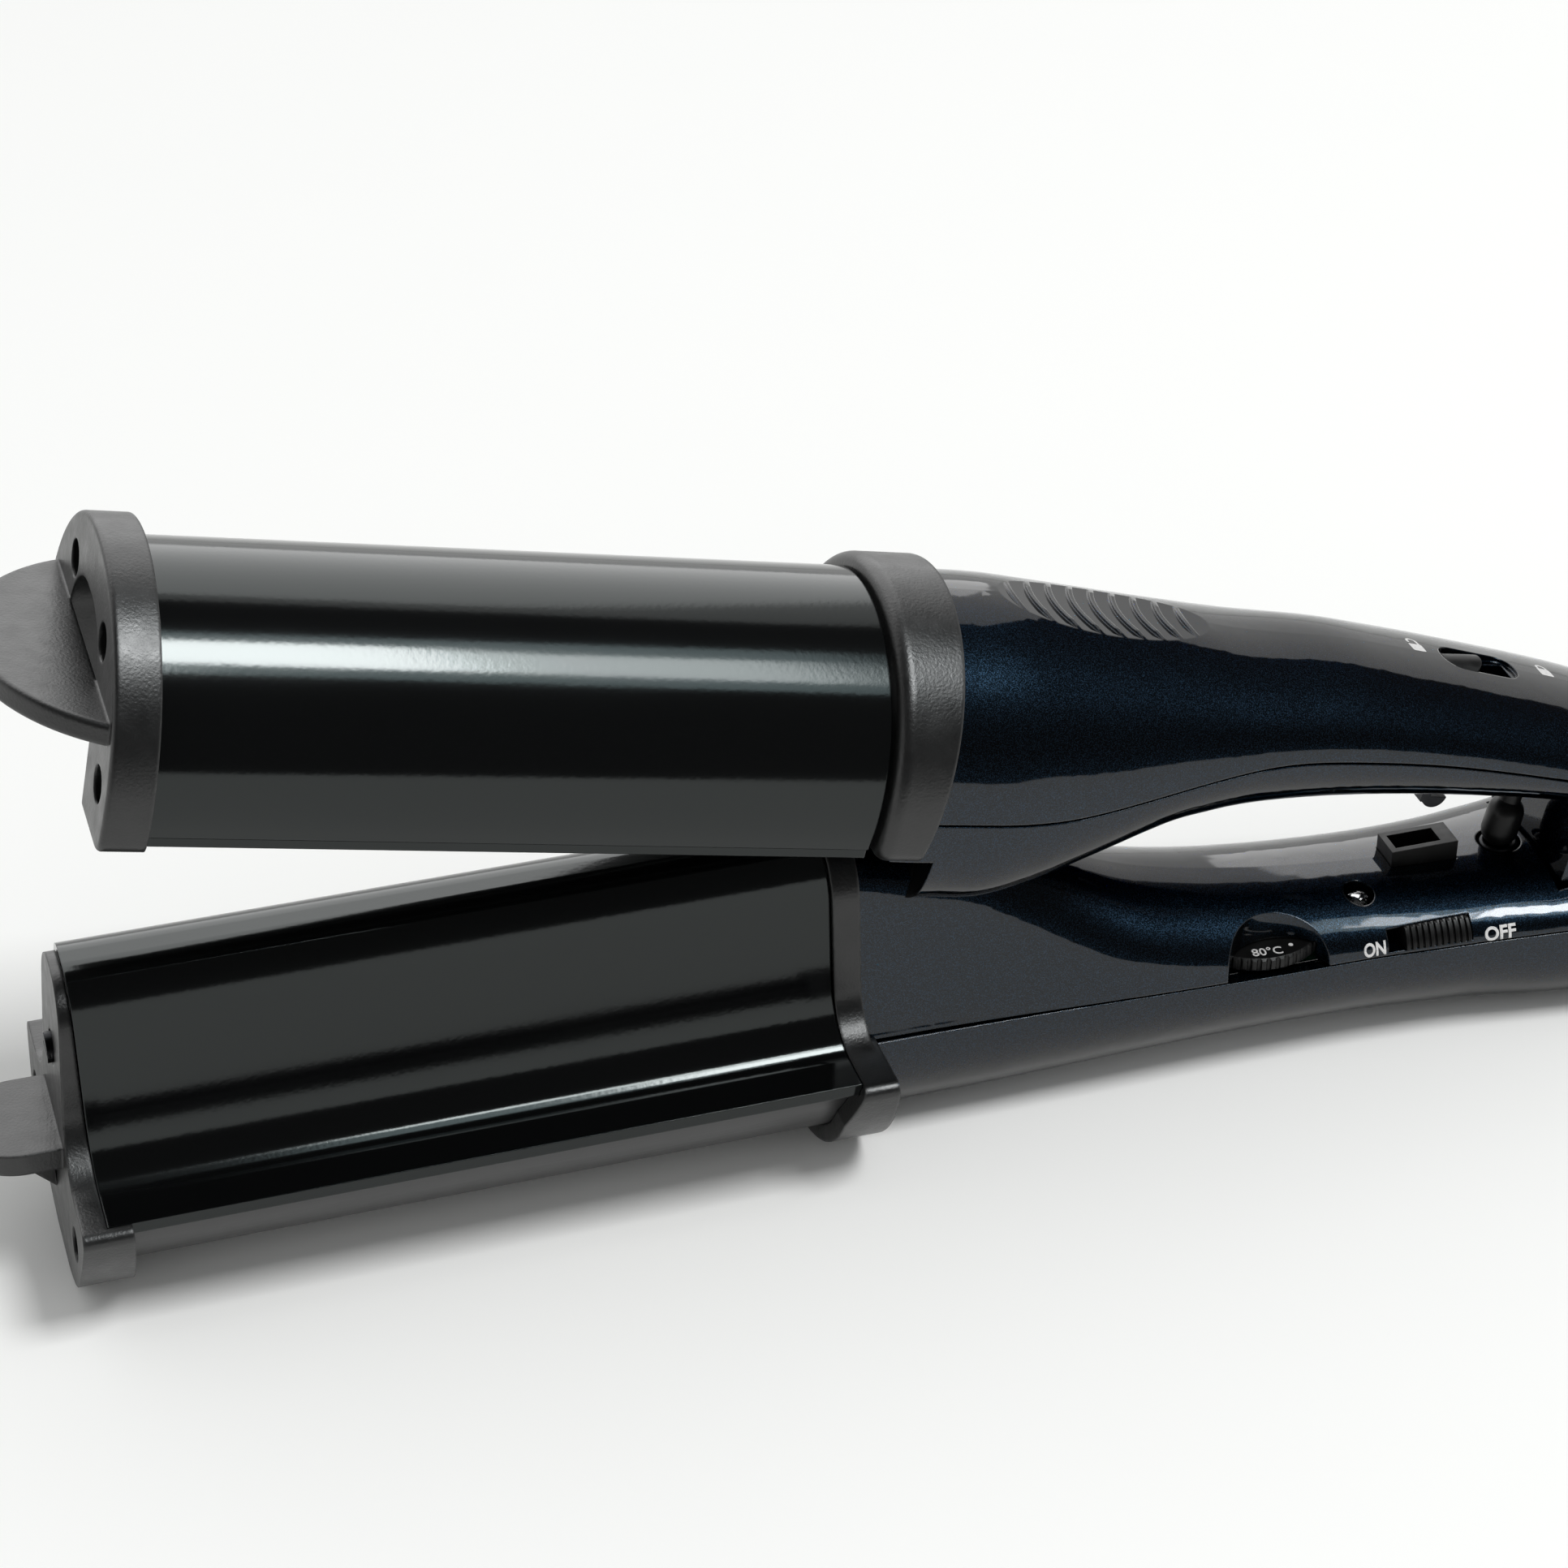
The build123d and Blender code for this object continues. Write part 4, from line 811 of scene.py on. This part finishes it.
def smooth(piece: Piece) -> None:
    """Shade a piece smooth, with its sharp edges kept."""
    piece.data.polygons.foreach_set("use_smooth", [True] * len(piece.data.polygons))
    piece.data.set_sharp_from_angle(angle=SMOOTH_ANGLE)


def arc(start: float, stop: float, steps: int) -> list[float]:
    """Give angles that step evenly from start to stop."""
    return [start + (stop - start) * i / steps for i in range(steps + 1)]


def ribbon(flat: Flat, path: list[Vector], width: float) -> None:
    """Add a flat ribbon along a path in the XY plane.

    Args:
        flat: the mark that it is added to.
        path: the points of its middle line.
        width: its width in metres.
    """
    rails = []
    for i, spot in enumerate(path):
        ahead = path[min(i + 1, len(path) - 1)] - path[max(i - 1, 0)]
        side = Vector((-ahead.y, ahead.x, 0)).normalized() * width / 2
        rails.append((flat.verts.new(spot + side), flat.verts.new(spot - side)))
    for (a, b), (c, d) in zip(rails, rails[1:]):
        flat.faces.new((a, b, d, c))


def fit_flat(flat: Flat, width: float, height: float) -> None:
    """Fit a flat mark to a size, with its middle at the origin.

    Args:
        flat: the mark, which is changed.
        width: its new width in metres.
        height: its new height in metres.
    """
    for axis, size in ((0, width), (1, height)):
        spread = [point.co[axis] for point in flat.verts]
        middle = (min(spread) + max(spread)) / 2
        scale = size / (max(spread) - min(spread))
        for point in flat.verts:
            point.co[axis] = (point.co[axis] - middle) * scale


def lettering(words: str, height: float, width: float, weight: float) -> Flat:
    """Lay out a word flat about its middle.

    Args:
        words: the letters or figures.
        height: the word's height in metres.
        width: its width in metres.
        weight: metres by which the strokes are fattened before the word is fitted.

    Returns:
        The word's faces in the XY plane.
    """
    curve = bpy.data.curves.new("lettering", "FONT")
    curve.body = words
    curve.size = height
    curve.offset = weight
    curve.resolution_u = LETTER_STEPS
    holder = add_object("lettering", curve)
    bpy.context.view_layer.update()
    mesh = bpy.data.meshes.new_from_object(holder.evaluated_get(bpy.context.evaluated_depsgraph_get()))
    flat = bmesh.new()
    flat.from_mesh(mesh)
    bpy.data.objects.remove(holder)
    bpy.data.curves.remove(curve)
    bpy.data.meshes.remove(mesh)
    bmesh.ops.remove_doubles(flat, verts=flat.verts[:], dist=MERGE_DISTANCE)
    fit_flat(flat, width, height)
    return flat


@dataclass(frozen=True)
class PrintBed:
    """A node that a mark is printed on, and how the mark lies on it.

    The mark is laid out flat at the centre, in the plane of right and up, and then pressed along the
    plane's normal onto the node.
    """

    node: str
    body: Body
    centre: Point
    right: Point
    up: Point
    lift: float = 0.02 * MM
    press: float = 6 * MM

    def plane(self) -> Matrix:
        """Work out how the flat mark is turned and moved.

        Returns:
            The matrix from the flat mark to the row frame.
        """
        across = Vector(self.right).normalized()
        out = across.cross(Vector(self.up)).normalized()
        along = out.cross(across)
        spin = Matrix((across, along, out)).transposed().to_4x4()
        return Matrix.Translation(Vector(self.centre)) @ spin

    def press_on(self, flat: Flat) -> None:
        """Move a flat mark's points onto the node, lifted a little off it.

        Args:
            flat: the mark in its own plane, which is changed.
        """
        plane = self.plane()
        out = (plane.to_3x3() @ Vector((0, 0, 1))).normalized()
        tree = BVHTree.FromObject(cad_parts[self.node], bpy.context.evaluated_depsgraph_get())
        for point in flat.verts:
            start = plane @ point.co + out * self.press
            spot, normal, _, _ = tree.ray_cast(start, -out, 2 * self.press)
            if spot is None:
                spot, normal, _, _ = tree.find_nearest(plane @ point.co)
            point.co = spot + normal * self.lift


def print_mark(name: str, flat: Flat, bed: PrintBed, ink: Finish) -> Piece:
    """Press a flat mark onto its node as a thin film of ink.

    Args:
        name: the new piece's name.
        flat: the mark's faces in its own plane, in metres. It is freed.
        bed: where it is printed.
        ink: its finish.

    Returns:
        The printed piece.
    """
    bmesh.ops.triangulate(flat, faces=flat.faces[:])
    for _ in range(MARK_CUTS):
        long_edges = [edge for edge in flat.edges if edge.calc_length() > MARK_GRID]
        bmesh.ops.subdivide_edges(flat, edges=long_edges, cuts=1)
        bmesh.ops.triangulate(flat, faces=flat.faces[:])
    bed.press_on(flat)
    mesh = bpy.data.meshes.new(name)
    flat.to_mesh(mesh)
    flat.free()
    mesh.materials.append(ink.build())
    piece = add_object(name, mesh)
    film = piece.modifiers.new("film", "SOLIDIFY")
    film.thickness = FILM
    film.offset = -1.0
    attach(piece, bed.body.value)
    return piece


@dataclass(frozen=True)
class Padlock:
    """A padlock mark: a square body under a bow that is shut, or swung up at one side."""

    width: float = 1.85 * MM
    height: float = 1.75 * MM
    corner: float = 0.22 * MM
    corner_steps: int = 4
    bow_radius: float = 0.62 * MM
    bow_rise: float = 0.35 * MM
    bow_steps: int = 12
    open_gap: float = 0.45 * MM
    wire: float = 0.32 * MM

    def draw(self, shackle: Shackle) -> Flat:
        """Draw the padlock flat about its body's middle.

        Args:
            shackle: whether the bow is shut or open.

        Returns:
            The padlock's faces in the XY plane.
        """
        flat = bmesh.new()
        across, up = self.width / 2 - self.corner, self.height / 2 - self.corner
        outline = []
        for turn, (x, y) in enumerate([(1, 1), (-1, 1), (-1, -1), (1, -1)]):
            for angle in arc(turn * math.pi / 2, (turn + 1) * math.pi / 2, self.corner_steps):
                round_off = self.corner * Vector((math.cos(angle), math.sin(angle), 0))
                outline.append(flat.verts.new(Vector((x * across, y * up, 0)) + round_off))
        flat.faces.new(outline)
        foot = self.height / 2
        gap = self.open_gap if shackle is Shackle.OPEN else 0.0
        shoulder = foot + gap + self.bow_rise
        path = [Vector((self.bow_radius, foot, 0))]
        for angle in arc(0, math.pi, self.bow_steps):
            rise = shoulder + self.bow_radius * math.sin(angle)
            path.append(Vector((self.bow_radius * math.cos(angle), rise, 0)))
        path.append(Vector((-self.bow_radius, foot + gap, 0)))
        ribbon(flat, path, self.wire)
        return flat


@dataclass(frozen=True)
class CoilSpring:
    """A spring of round wire with closed ends, which stands in its well and is pressed from above."""

    foot: Point = (88.5 * MM, 0.0, 3.0 * MM)
    height: float = 17.2 * MM
    radius: float = 2.05 * MM
    wire: float = 0.35 * MM
    turns: int = 7
    closed_turns: float = 0.75
    steps: int = 32
    sides: int = 12
    pressed: float = 0.68

    def rings(self) -> list[list[Vector]]:
        """Work out the rings of points around the wire.

        Returns:
            The rings, from the wire's lower end to its upper end.
        """
        made = []
        up = Vector((0, 0, 1))
        rise = self.height - 2 * self.wire
        start = Vector(self.foot) + up * self.wire
        for i in range(self.turns * self.steps + 1):
            turn = i / self.steps
            share = (turn - self.closed_turns) / (self.turns - 2 * self.closed_turns)
            out = Vector((math.cos(math.tau * turn), math.sin(math.tau * turn), 0))
            middle = start + out * self.radius + up * (rise * min(max(share, 0.0), 1.0))
            spokes = [out * math.cos(a) + up * math.sin(a) for a in arc(0, math.tau, self.sides)[:-1]]
            made.append([middle + spoke * self.wire for spoke in spokes])
        return made

    def build(self, name: str, node: str, finish: Finish) -> Piece:
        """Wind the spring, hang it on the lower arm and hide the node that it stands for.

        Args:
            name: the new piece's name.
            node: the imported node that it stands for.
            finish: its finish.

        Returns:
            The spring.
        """
        rings = self.rings()
        last = (len(rings) - 1) * self.sides
        faces = [tuple(range(self.sides))[::-1], tuple(range(last, last + self.sides))]
        for low in range(0, last, self.sides):
            for i in range(self.sides):
                ahead = (i + 1) % self.sides
                faces.append((low + i, low + ahead, low + self.sides + ahead, low + self.sides + i))
        mesh = bpy.data.meshes.new(name)
        mesh.from_pydata([spot for ring in rings for spot in ring], [], faces)
        mesh.materials.append(finish.build())
        piece = add_object(name, mesh)
        smooth(piece)
        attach(piece, Body.LOWER.value)
        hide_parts(node)
        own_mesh(piece)
        return piece


@dataclass
class SubAssembly:
    """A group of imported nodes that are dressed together, and the new pieces on them."""

    finishes: Finishes

    def skins(self) -> dict[str, Finish]:
        """Give the finish of each node by the node's name."""
        raise NotImplementedError

    def pieces(self) -> list[Piece]:
        """Make the new pieces that this group carries."""
        raise NotImplementedError

    def dress(self) -> None:
        """Put each node's finish on it."""
        for name, finish in self.skins().items():
            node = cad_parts[name]
            node.data.materials.clear()
            node.data.materials.append(finish.build())
            smooth(node)
            LOG.info("dressed %s in %s", name, finish.name)

    def build(self) -> None:
        """Dress the nodes and make the new pieces."""
        self.dress()
        for piece in self.pieces():
            LOG.info("made %s", piece.name)


@dataclass
class LowerArm(SubAssembly):
    """The arm that lies on the table: ridge, belly, handle, spring and print."""

    spring: CoilSpring = CoilSpring()
    letter_height: float = 1.85 * MM
    stroke_weight: float = 0.06 * MM
    on_width: float = 2.9 * MM
    off_width: float = 4.0 * MM
    on_place: Point = (66.9 * MM, -11.8 * MM, 16.1 * MM)
    off_place: Point = (83.2 * MM, -12.7 * MM, 15.8 * MM)
    print_right: Point = (1, -0.05, 0.03)
    print_up: Point = (0, 0.36, 0.93)

    def skins(self) -> dict[str, Finish]:
        """List the nodes of this group.

        Returns:
            Each node's finish by its name.
        """
        kit = self.finishes
        return {
            "lower_handle_top_shell": kit.flank,
            "lower_handle_bottom_shell": kit.navy,
            "lower_end_cap": kit.cap,
            "lower_collar": kit.cap,
            "lower_plate": kit.ridge,
            "lower_cover": kit.cover,
            "indicator_lens": kit.lens,
            "latch_loop": kit.control,
            # The cap screws and the opening spring wear the dark steel, whose darkness is partly painted
            # shade.
            "lower_cap_screws": kit.dark_steel,
            "hinge_pin": kit.steel,
            "opening_spring": kit.dark_steel,
            "lower_heat_spreader": kit.aluminium,
            "lower_heater": kit.heater,
            "lower_carrier": kit.control,
            "lower_thermostat": kit.steel,
            "circuit_board": kit.board,
            "dial_potentiometer": kit.steel,
            "power_switch_body": kit.control,
            "indicator_led": kit.lens,
            "cord_gland": kit.rubber,
            "lower_handle_screws": kit.steel,
        }

    def pieces(self) -> list[Piece]:
        """Wind the opening spring and print the two words beside the power switch.

        Returns:
            The new pieces.
        """
        # The coil is wound in the dark steel, whose darkness is painted shade for the spring in its well.
        made = [self.spring.build("opening_coil", "opening_spring", self.finishes.dark_steel)]
        words = (("ON", self.on_width, self.on_place), ("OFF", self.off_width, self.off_place))
        for word, width, place in words:
            bed = PrintBed("lower_handle_top_shell", Body.LOWER, place, self.print_right, self.print_up)
            flat = lettering(word, self.letter_height, width, self.stroke_weight)
            made.append(print_mark(f"mark_{word.lower()}", flat, bed, self.finishes.ink))
        return made


@dataclass
class UpperArm(SubAssembly):
    """The arm that swings up: barrel, channel, handle and the padlock marks."""

    padlock: Padlock = Padlock()
    open_place: Point = (75.1 * MM, 0.8 * MM, 50.1 * MM)
    closed_place: Point = (92.8 * MM, 1.0 * MM, 43.2 * MM)
    print_right: Point = (0.93, 0, -0.37)
    print_up: Point = (0, 1, 0)

    def skins(self) -> dict[str, Finish]:
        """List the nodes of this group.

        Returns:
            Each node's finish by its name.
        """
        kit = self.finishes
        return {
            "upper_handle_top_shell": kit.navy,
            "upper_handle_bottom_shell": kit.navy,
            "upper_end_cap": kit.cap,
            "upper_collar": kit.cap,
            "upper_barrel": kit.ceramic,
            "upper_channel_plate": kit.ceramic,
            # The cap screws wear the dark steel, whose darkness is partly painted shade.
            "spring_plunger": kit.control,
            "upper_cap_screws": kit.dark_steel,
            "upper_leg_cores": kit.aluminium,
            "upper_heaters": kit.heater,
            "upper_thermal_fuse": kit.steel,
            "hinge_bushes": kit.bronze,
            "upper_handle_screws": kit.steel,
        }

    def pieces(self) -> list[Piece]:
        """Print the padlocks at the two ends of the lock's slot.

        Returns:
            The new pieces.
        """
        made = []
        for shackle, place in ((Shackle.OPEN, self.open_place), (Shackle.CLOSED, self.closed_place)):
            bed = PrintBed("upper_handle_top_shell", Body.UPPER, place, self.print_right, self.print_up)
            flat = self.padlock.draw(shackle)
            made.append(print_mark(f"mark_padlock_{shackle.value}", flat, bed, self.finishes.ink))
        return made


@dataclass
class Controls(SubAssembly):
    """The lock, the power switch knob and the dial with its figures."""

    figures: tuple[str, ...] = ("80°C", "110", "130", "160", "180", "200")
    figure_height: float = 1.55 * MM
    figure_width: float = 0.95 * MM
    figure_weight: float = 0.02 * MM
    figure_step: float = math.radians(52.8)
    figure_start: float = math.radians(-96.2)
    figure_inset: float = 1.75 * MM
    dot_radius: float = 0.3 * MM
    dot_sides: int = 16

    def skins(self) -> dict[str, Finish]:
        """List the nodes of this group.

        Returns:
            Each node's finish by its name.
        """
        kit = self.finishes
        return {
            "lock_knob": kit.control,
            # The lock hook wears the dark steel, whose darkness is painted shade under the upper handle.
            "lock_hook": kit.dark_steel,
            "power_switch_knob": kit.control,
            "temperature_dial": kit.control,
        }

    def pieces(self) -> list[Piece]:
        """Print the figures round the top of the dial, with a dot between each two.

        Returns:
            The new pieces.
        """
        made = []
        for i, figure in enumerate(self.figures):
            angle = self.figure_start + i * self.figure_step
            flat = lettering(figure, self.figure_height, self.figure_width * len(figure), self.figure_weight)
            made.append(print_mark(f"mark_dial_{i}", flat, self.dial_bed(angle), self.finishes.ink))
            if i:
                dot = bmesh.new()
                bmesh.ops.create_circle(dot, cap_ends=True, segments=self.dot_sides, radius=self.dot_radius)
                bed = self.dial_bed(angle - self.figure_step / 2)
                made.append(print_mark(f"mark_dial_dot_{i}", dot, bed, self.finishes.ink))
        return made

    def dial_bed(self, angle: float) -> PrintBed:
        """Give the bed of a mark on the dial's top.

        Args:
            angle: where on the dial, from the X axis, in radians.

        Returns:
            The bed, with the mark's foot towards the rim.
        """
        low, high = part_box("temperature_dial")
        middle = (low + high) / 2
        out = Vector((math.cos(angle), math.sin(angle), 0))
        spot = Vector((middle.x, middle.y, high.z)) + out * ((high.x - low.x) / 2 - self.figure_inset)
        return PrintBed("temperature_dial", Body.DIAL, tuple(spot), (-out.y, out.x, 0), tuple(-out))


@dataclass(frozen=True)
class Softbox:
    """A flat lamp that faces a point of the object; its strength is its power over pi times its area."""

    name: str
    direction: Point
    distance: float
    size: Span
    strength: float
    reach: Reach
    tint: Point = WHITE_LIGHT

    def hang(self, aim: Vector) -> None:
        """Hang the lamp.

        Args:
            aim: the point that it faces.
        """
        lamp = bpy.data.lights.new(self.name, "AREA")
        lamp.shape = "RECTANGLE"
        lamp.size, lamp.size_y = self.size
        lamp.energy = self.strength * math.pi * self.size[0] * self.size[1]
        lamp.color = self.tint
        holder = add_object(self.name, lamp)
        away = Vector(self.direction).normalized()
        across = (Vector((1, 0, 0)) - away * away.x).normalized()
        holder.location = aim + away * self.distance
        holder.rotation_euler = Matrix((across, away.cross(across), away)).transposed().to_euler()
        holder.visible_camera = False
        holder.visible_diffuse = self.reach is Reach.MATTE
        holder.visible_glossy = self.reach is Reach.GLEAM


@dataclass
class Studio:
    """A pale table, soft lamps, a black card that only reflections see, and the camera.

    The card starts on the table at table_front, runs up along card_curve as places of Y and Z, and
    ends overhead at card_rear. Its flap, as places of X and Y, is overhead at the right and behind.
    """

    aim: Point = (-0.02, 0.0, 0.05)
    floor_half: float = 4.0
    floor_gap: float = 0.02 * MM
    floor_colour: Colour = (0.935, 0.94, 0.93, 1.0)
    floor_faint: Colour = (0.928, 0.933, 0.923, 1.0)
    floor_mottle: float = 30 * MM
    floor_roughness: float = 0.9
    pale: Colour = (0.93, 0.935, 0.93, 1.0)
    ambient: float = 0.64
    table_front: float = -0.29
    card_half: float = 4.0
    card_lift: float = 1 * MM
    card_top: float = 2.0
    card_rear: float = 0.60
    card_curve: tuple[Span, ...] = ((-1.6, 1 * MM), (-1.9, 0.4), (-1.7, 1.2), (-1.0, 1.8), (-0.2, 2.0))
    card_flap: tuple[Span, ...] = ((1.35, 0.6), (4.0, 0.6), (4.0, 2.2), (2.2, 1.75))
    card_grey: float = 0.05
    camera_target: Point = (-4.4 * MM, 0.0, 46.5 * MM)
    camera_azimuth: float = math.radians(-17.21)
    camera_elevation: float = math.radians(33.24)
    camera_distance: float = 458.07 * MM
    camera_lens: float = 91.52
    camera_sensor: float = 36.0
    camera_near: float = 0.01
    lamps: tuple[Softbox, ...] = (
        Softbox("key_core", (0.32, -0.37, 0.86), 1.0, (0.25, 0.27), 24.0, Reach.GLEAM),
        Softbox("key_side", (0.50, -0.36, 0.79), 1.0, (0.12, 0.24), 8.0, Reach.GLEAM),
        Softbox("key_halo", (0.34, -0.38, 0.86), 1.02, (0.56, 0.50), 2.4, Reach.GLEAM, COOL_LIGHT),
        Softbox("key_strip", (0.20, -0.55, 0.80), 1.0, (0.22, 0.10), 14.0, Reach.GLEAM),
        Softbox("back_light", (0.0, 0.79, 0.61), 4.5, (5.6, 5.1), 1.5, Reach.GLEAM),
        Softbox("table_light", (0.36, -0.36, 0.86), 3.0, (0.9, 0.9), 20.7, Reach.MATTE),
    )

    def floor(self) -> None:
        """Lay the table, with a faint mottle."""
        half = self.floor_half
        corners = [(-half, -half, 0), (half, -half, 0), (half, half, 0), (-half, half, 0)]
        mesh = bpy.data.meshes.new("floor")
        mesh.from_pydata(corners, [], [(0, 1, 2, 3)])
        sheet = ShaderSheet("white_table")
        mottle = sheet.noise(self.floor_mottle, Grain.CLOUDY)
        sheet.surface(
            Base_Color=sheet.mix(mottle, self.floor_colour, self.floor_faint),
            Roughness=self.floor_roughness,
            Specular_IOR_Level=0.0,
        )
        mesh.materials.append(sheet.material)
        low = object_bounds()[0][2]
        table = add_object("floor", mesh)
        table.location.z = low - self.floor_gap
        table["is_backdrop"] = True

    def card(self) -> None:
        """Stand the black card in front and overhead, where only reflections see it."""
        profile = [(self.table_front, self.card_lift), *self.card_curve, (self.card_rear, self.card_top)]
        points = [(x, y, z) for y, z in profile for x in (-self.card_half, self.card_half)]
        faces = [(2 * i, 2 * i + 1, 2 * i + 3, 2 * i + 2) for i in range(len(profile) - 1)]
        faces.append(tuple(range(len(points), len(points) + len(self.card_flap))))
        points += [(x, y, self.card_top) for x, y in self.card_flap]
        mesh = bpy.data.meshes.new("black_card")
        mesh.from_pydata(points, [], faces)
        sheet = ShaderSheet("black_card")
        sheet.surface(Base_Color=grey(0.0), Roughness=1.0, Specular_IOR_Level=0.0)
        sheet.surface(Emission_Color=grey(1.0), Emission_Strength=self.card_grey)
        mesh.materials.append(sheet.material)
        card = add_object("black_card", mesh)
        for rays in ("camera", "diffuse", "transmission", "volume_scatter", "shadow"):
            setattr(card, f"visible_{rays}", False)
        card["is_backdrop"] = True

    def world(self) -> None:
        """Set a pale world that eyes and reflections see, and a dimmer one that lights."""
        world = bpy.data.worlds.new("studio")
        world.use_nodes = True
        bpy.context.scene.world = world
        tree = world.node_tree
        path = tree.nodes.new("ShaderNodeLightPath")
        seen = path.outputs["Is Camera Ray"]
        for rays in ("Is Glossy Ray", "Is Transmission Ray"):
            either = tree.nodes.new("ShaderNodeMath")
            either.operation = "MAXIMUM"
            tree.links.new(seen, either.inputs[0])
            tree.links.new(path.outputs[rays], either.inputs[1])
            seen = either.outputs["Value"]
        strength = tree.nodes.new("ShaderNodeMapRange")
        strength.inputs["To Min"].default_value = self.ambient
        tree.links.new(seen, strength.inputs["Value"])
        sky = tree.nodes["Background"]
        sky.inputs["Color"].default_value = self.pale
        tree.links.new(strength.outputs["Result"], sky.inputs["Strength"])

    def camera(self) -> None:
        """Set the camera at the photograph's angle."""
        lens = bpy.data.cameras.new("camera")
        lens.sensor_width = self.camera_sensor
        lens.lens = self.camera_lens
        lens.clip_start = self.camera_near
        holder = add_object("camera", lens)
        level = math.cos(self.camera_elevation)
        across = math.sin(self.camera_azimuth) * level
        along = -math.cos(self.camera_azimuth) * level
        back = Vector((across, along, math.sin(self.camera_elevation)))
        holder.location = Vector(self.camera_target) + back * self.camera_distance
        holder.rotation_euler = back.to_track_quat("Z", "Y").to_euler()
        bpy.context.scene.camera = holder

    def build(self) -> None:
        """Set up floor, card, lamps, world, camera and view."""
        self.floor()
        self.card()
        for lamp in self.lamps:
            lamp.hang(Vector(self.aim))
            LOG.info("hung %s", lamp.name)
        self.world()
        self.camera()
        bpy.context.scene.view_settings.view_transform = "Standard"


def main() -> None:
    """Dress the iron and set the studio."""
    logging.basicConfig(level=logging.INFO)
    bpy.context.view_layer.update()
    finishes = Finishes()
    for part in (LowerArm(finishes), UpperArm(finishes), Controls(finishes)):
        part.build()
    Studio().build()


if __name__ == "__main__":
    main()
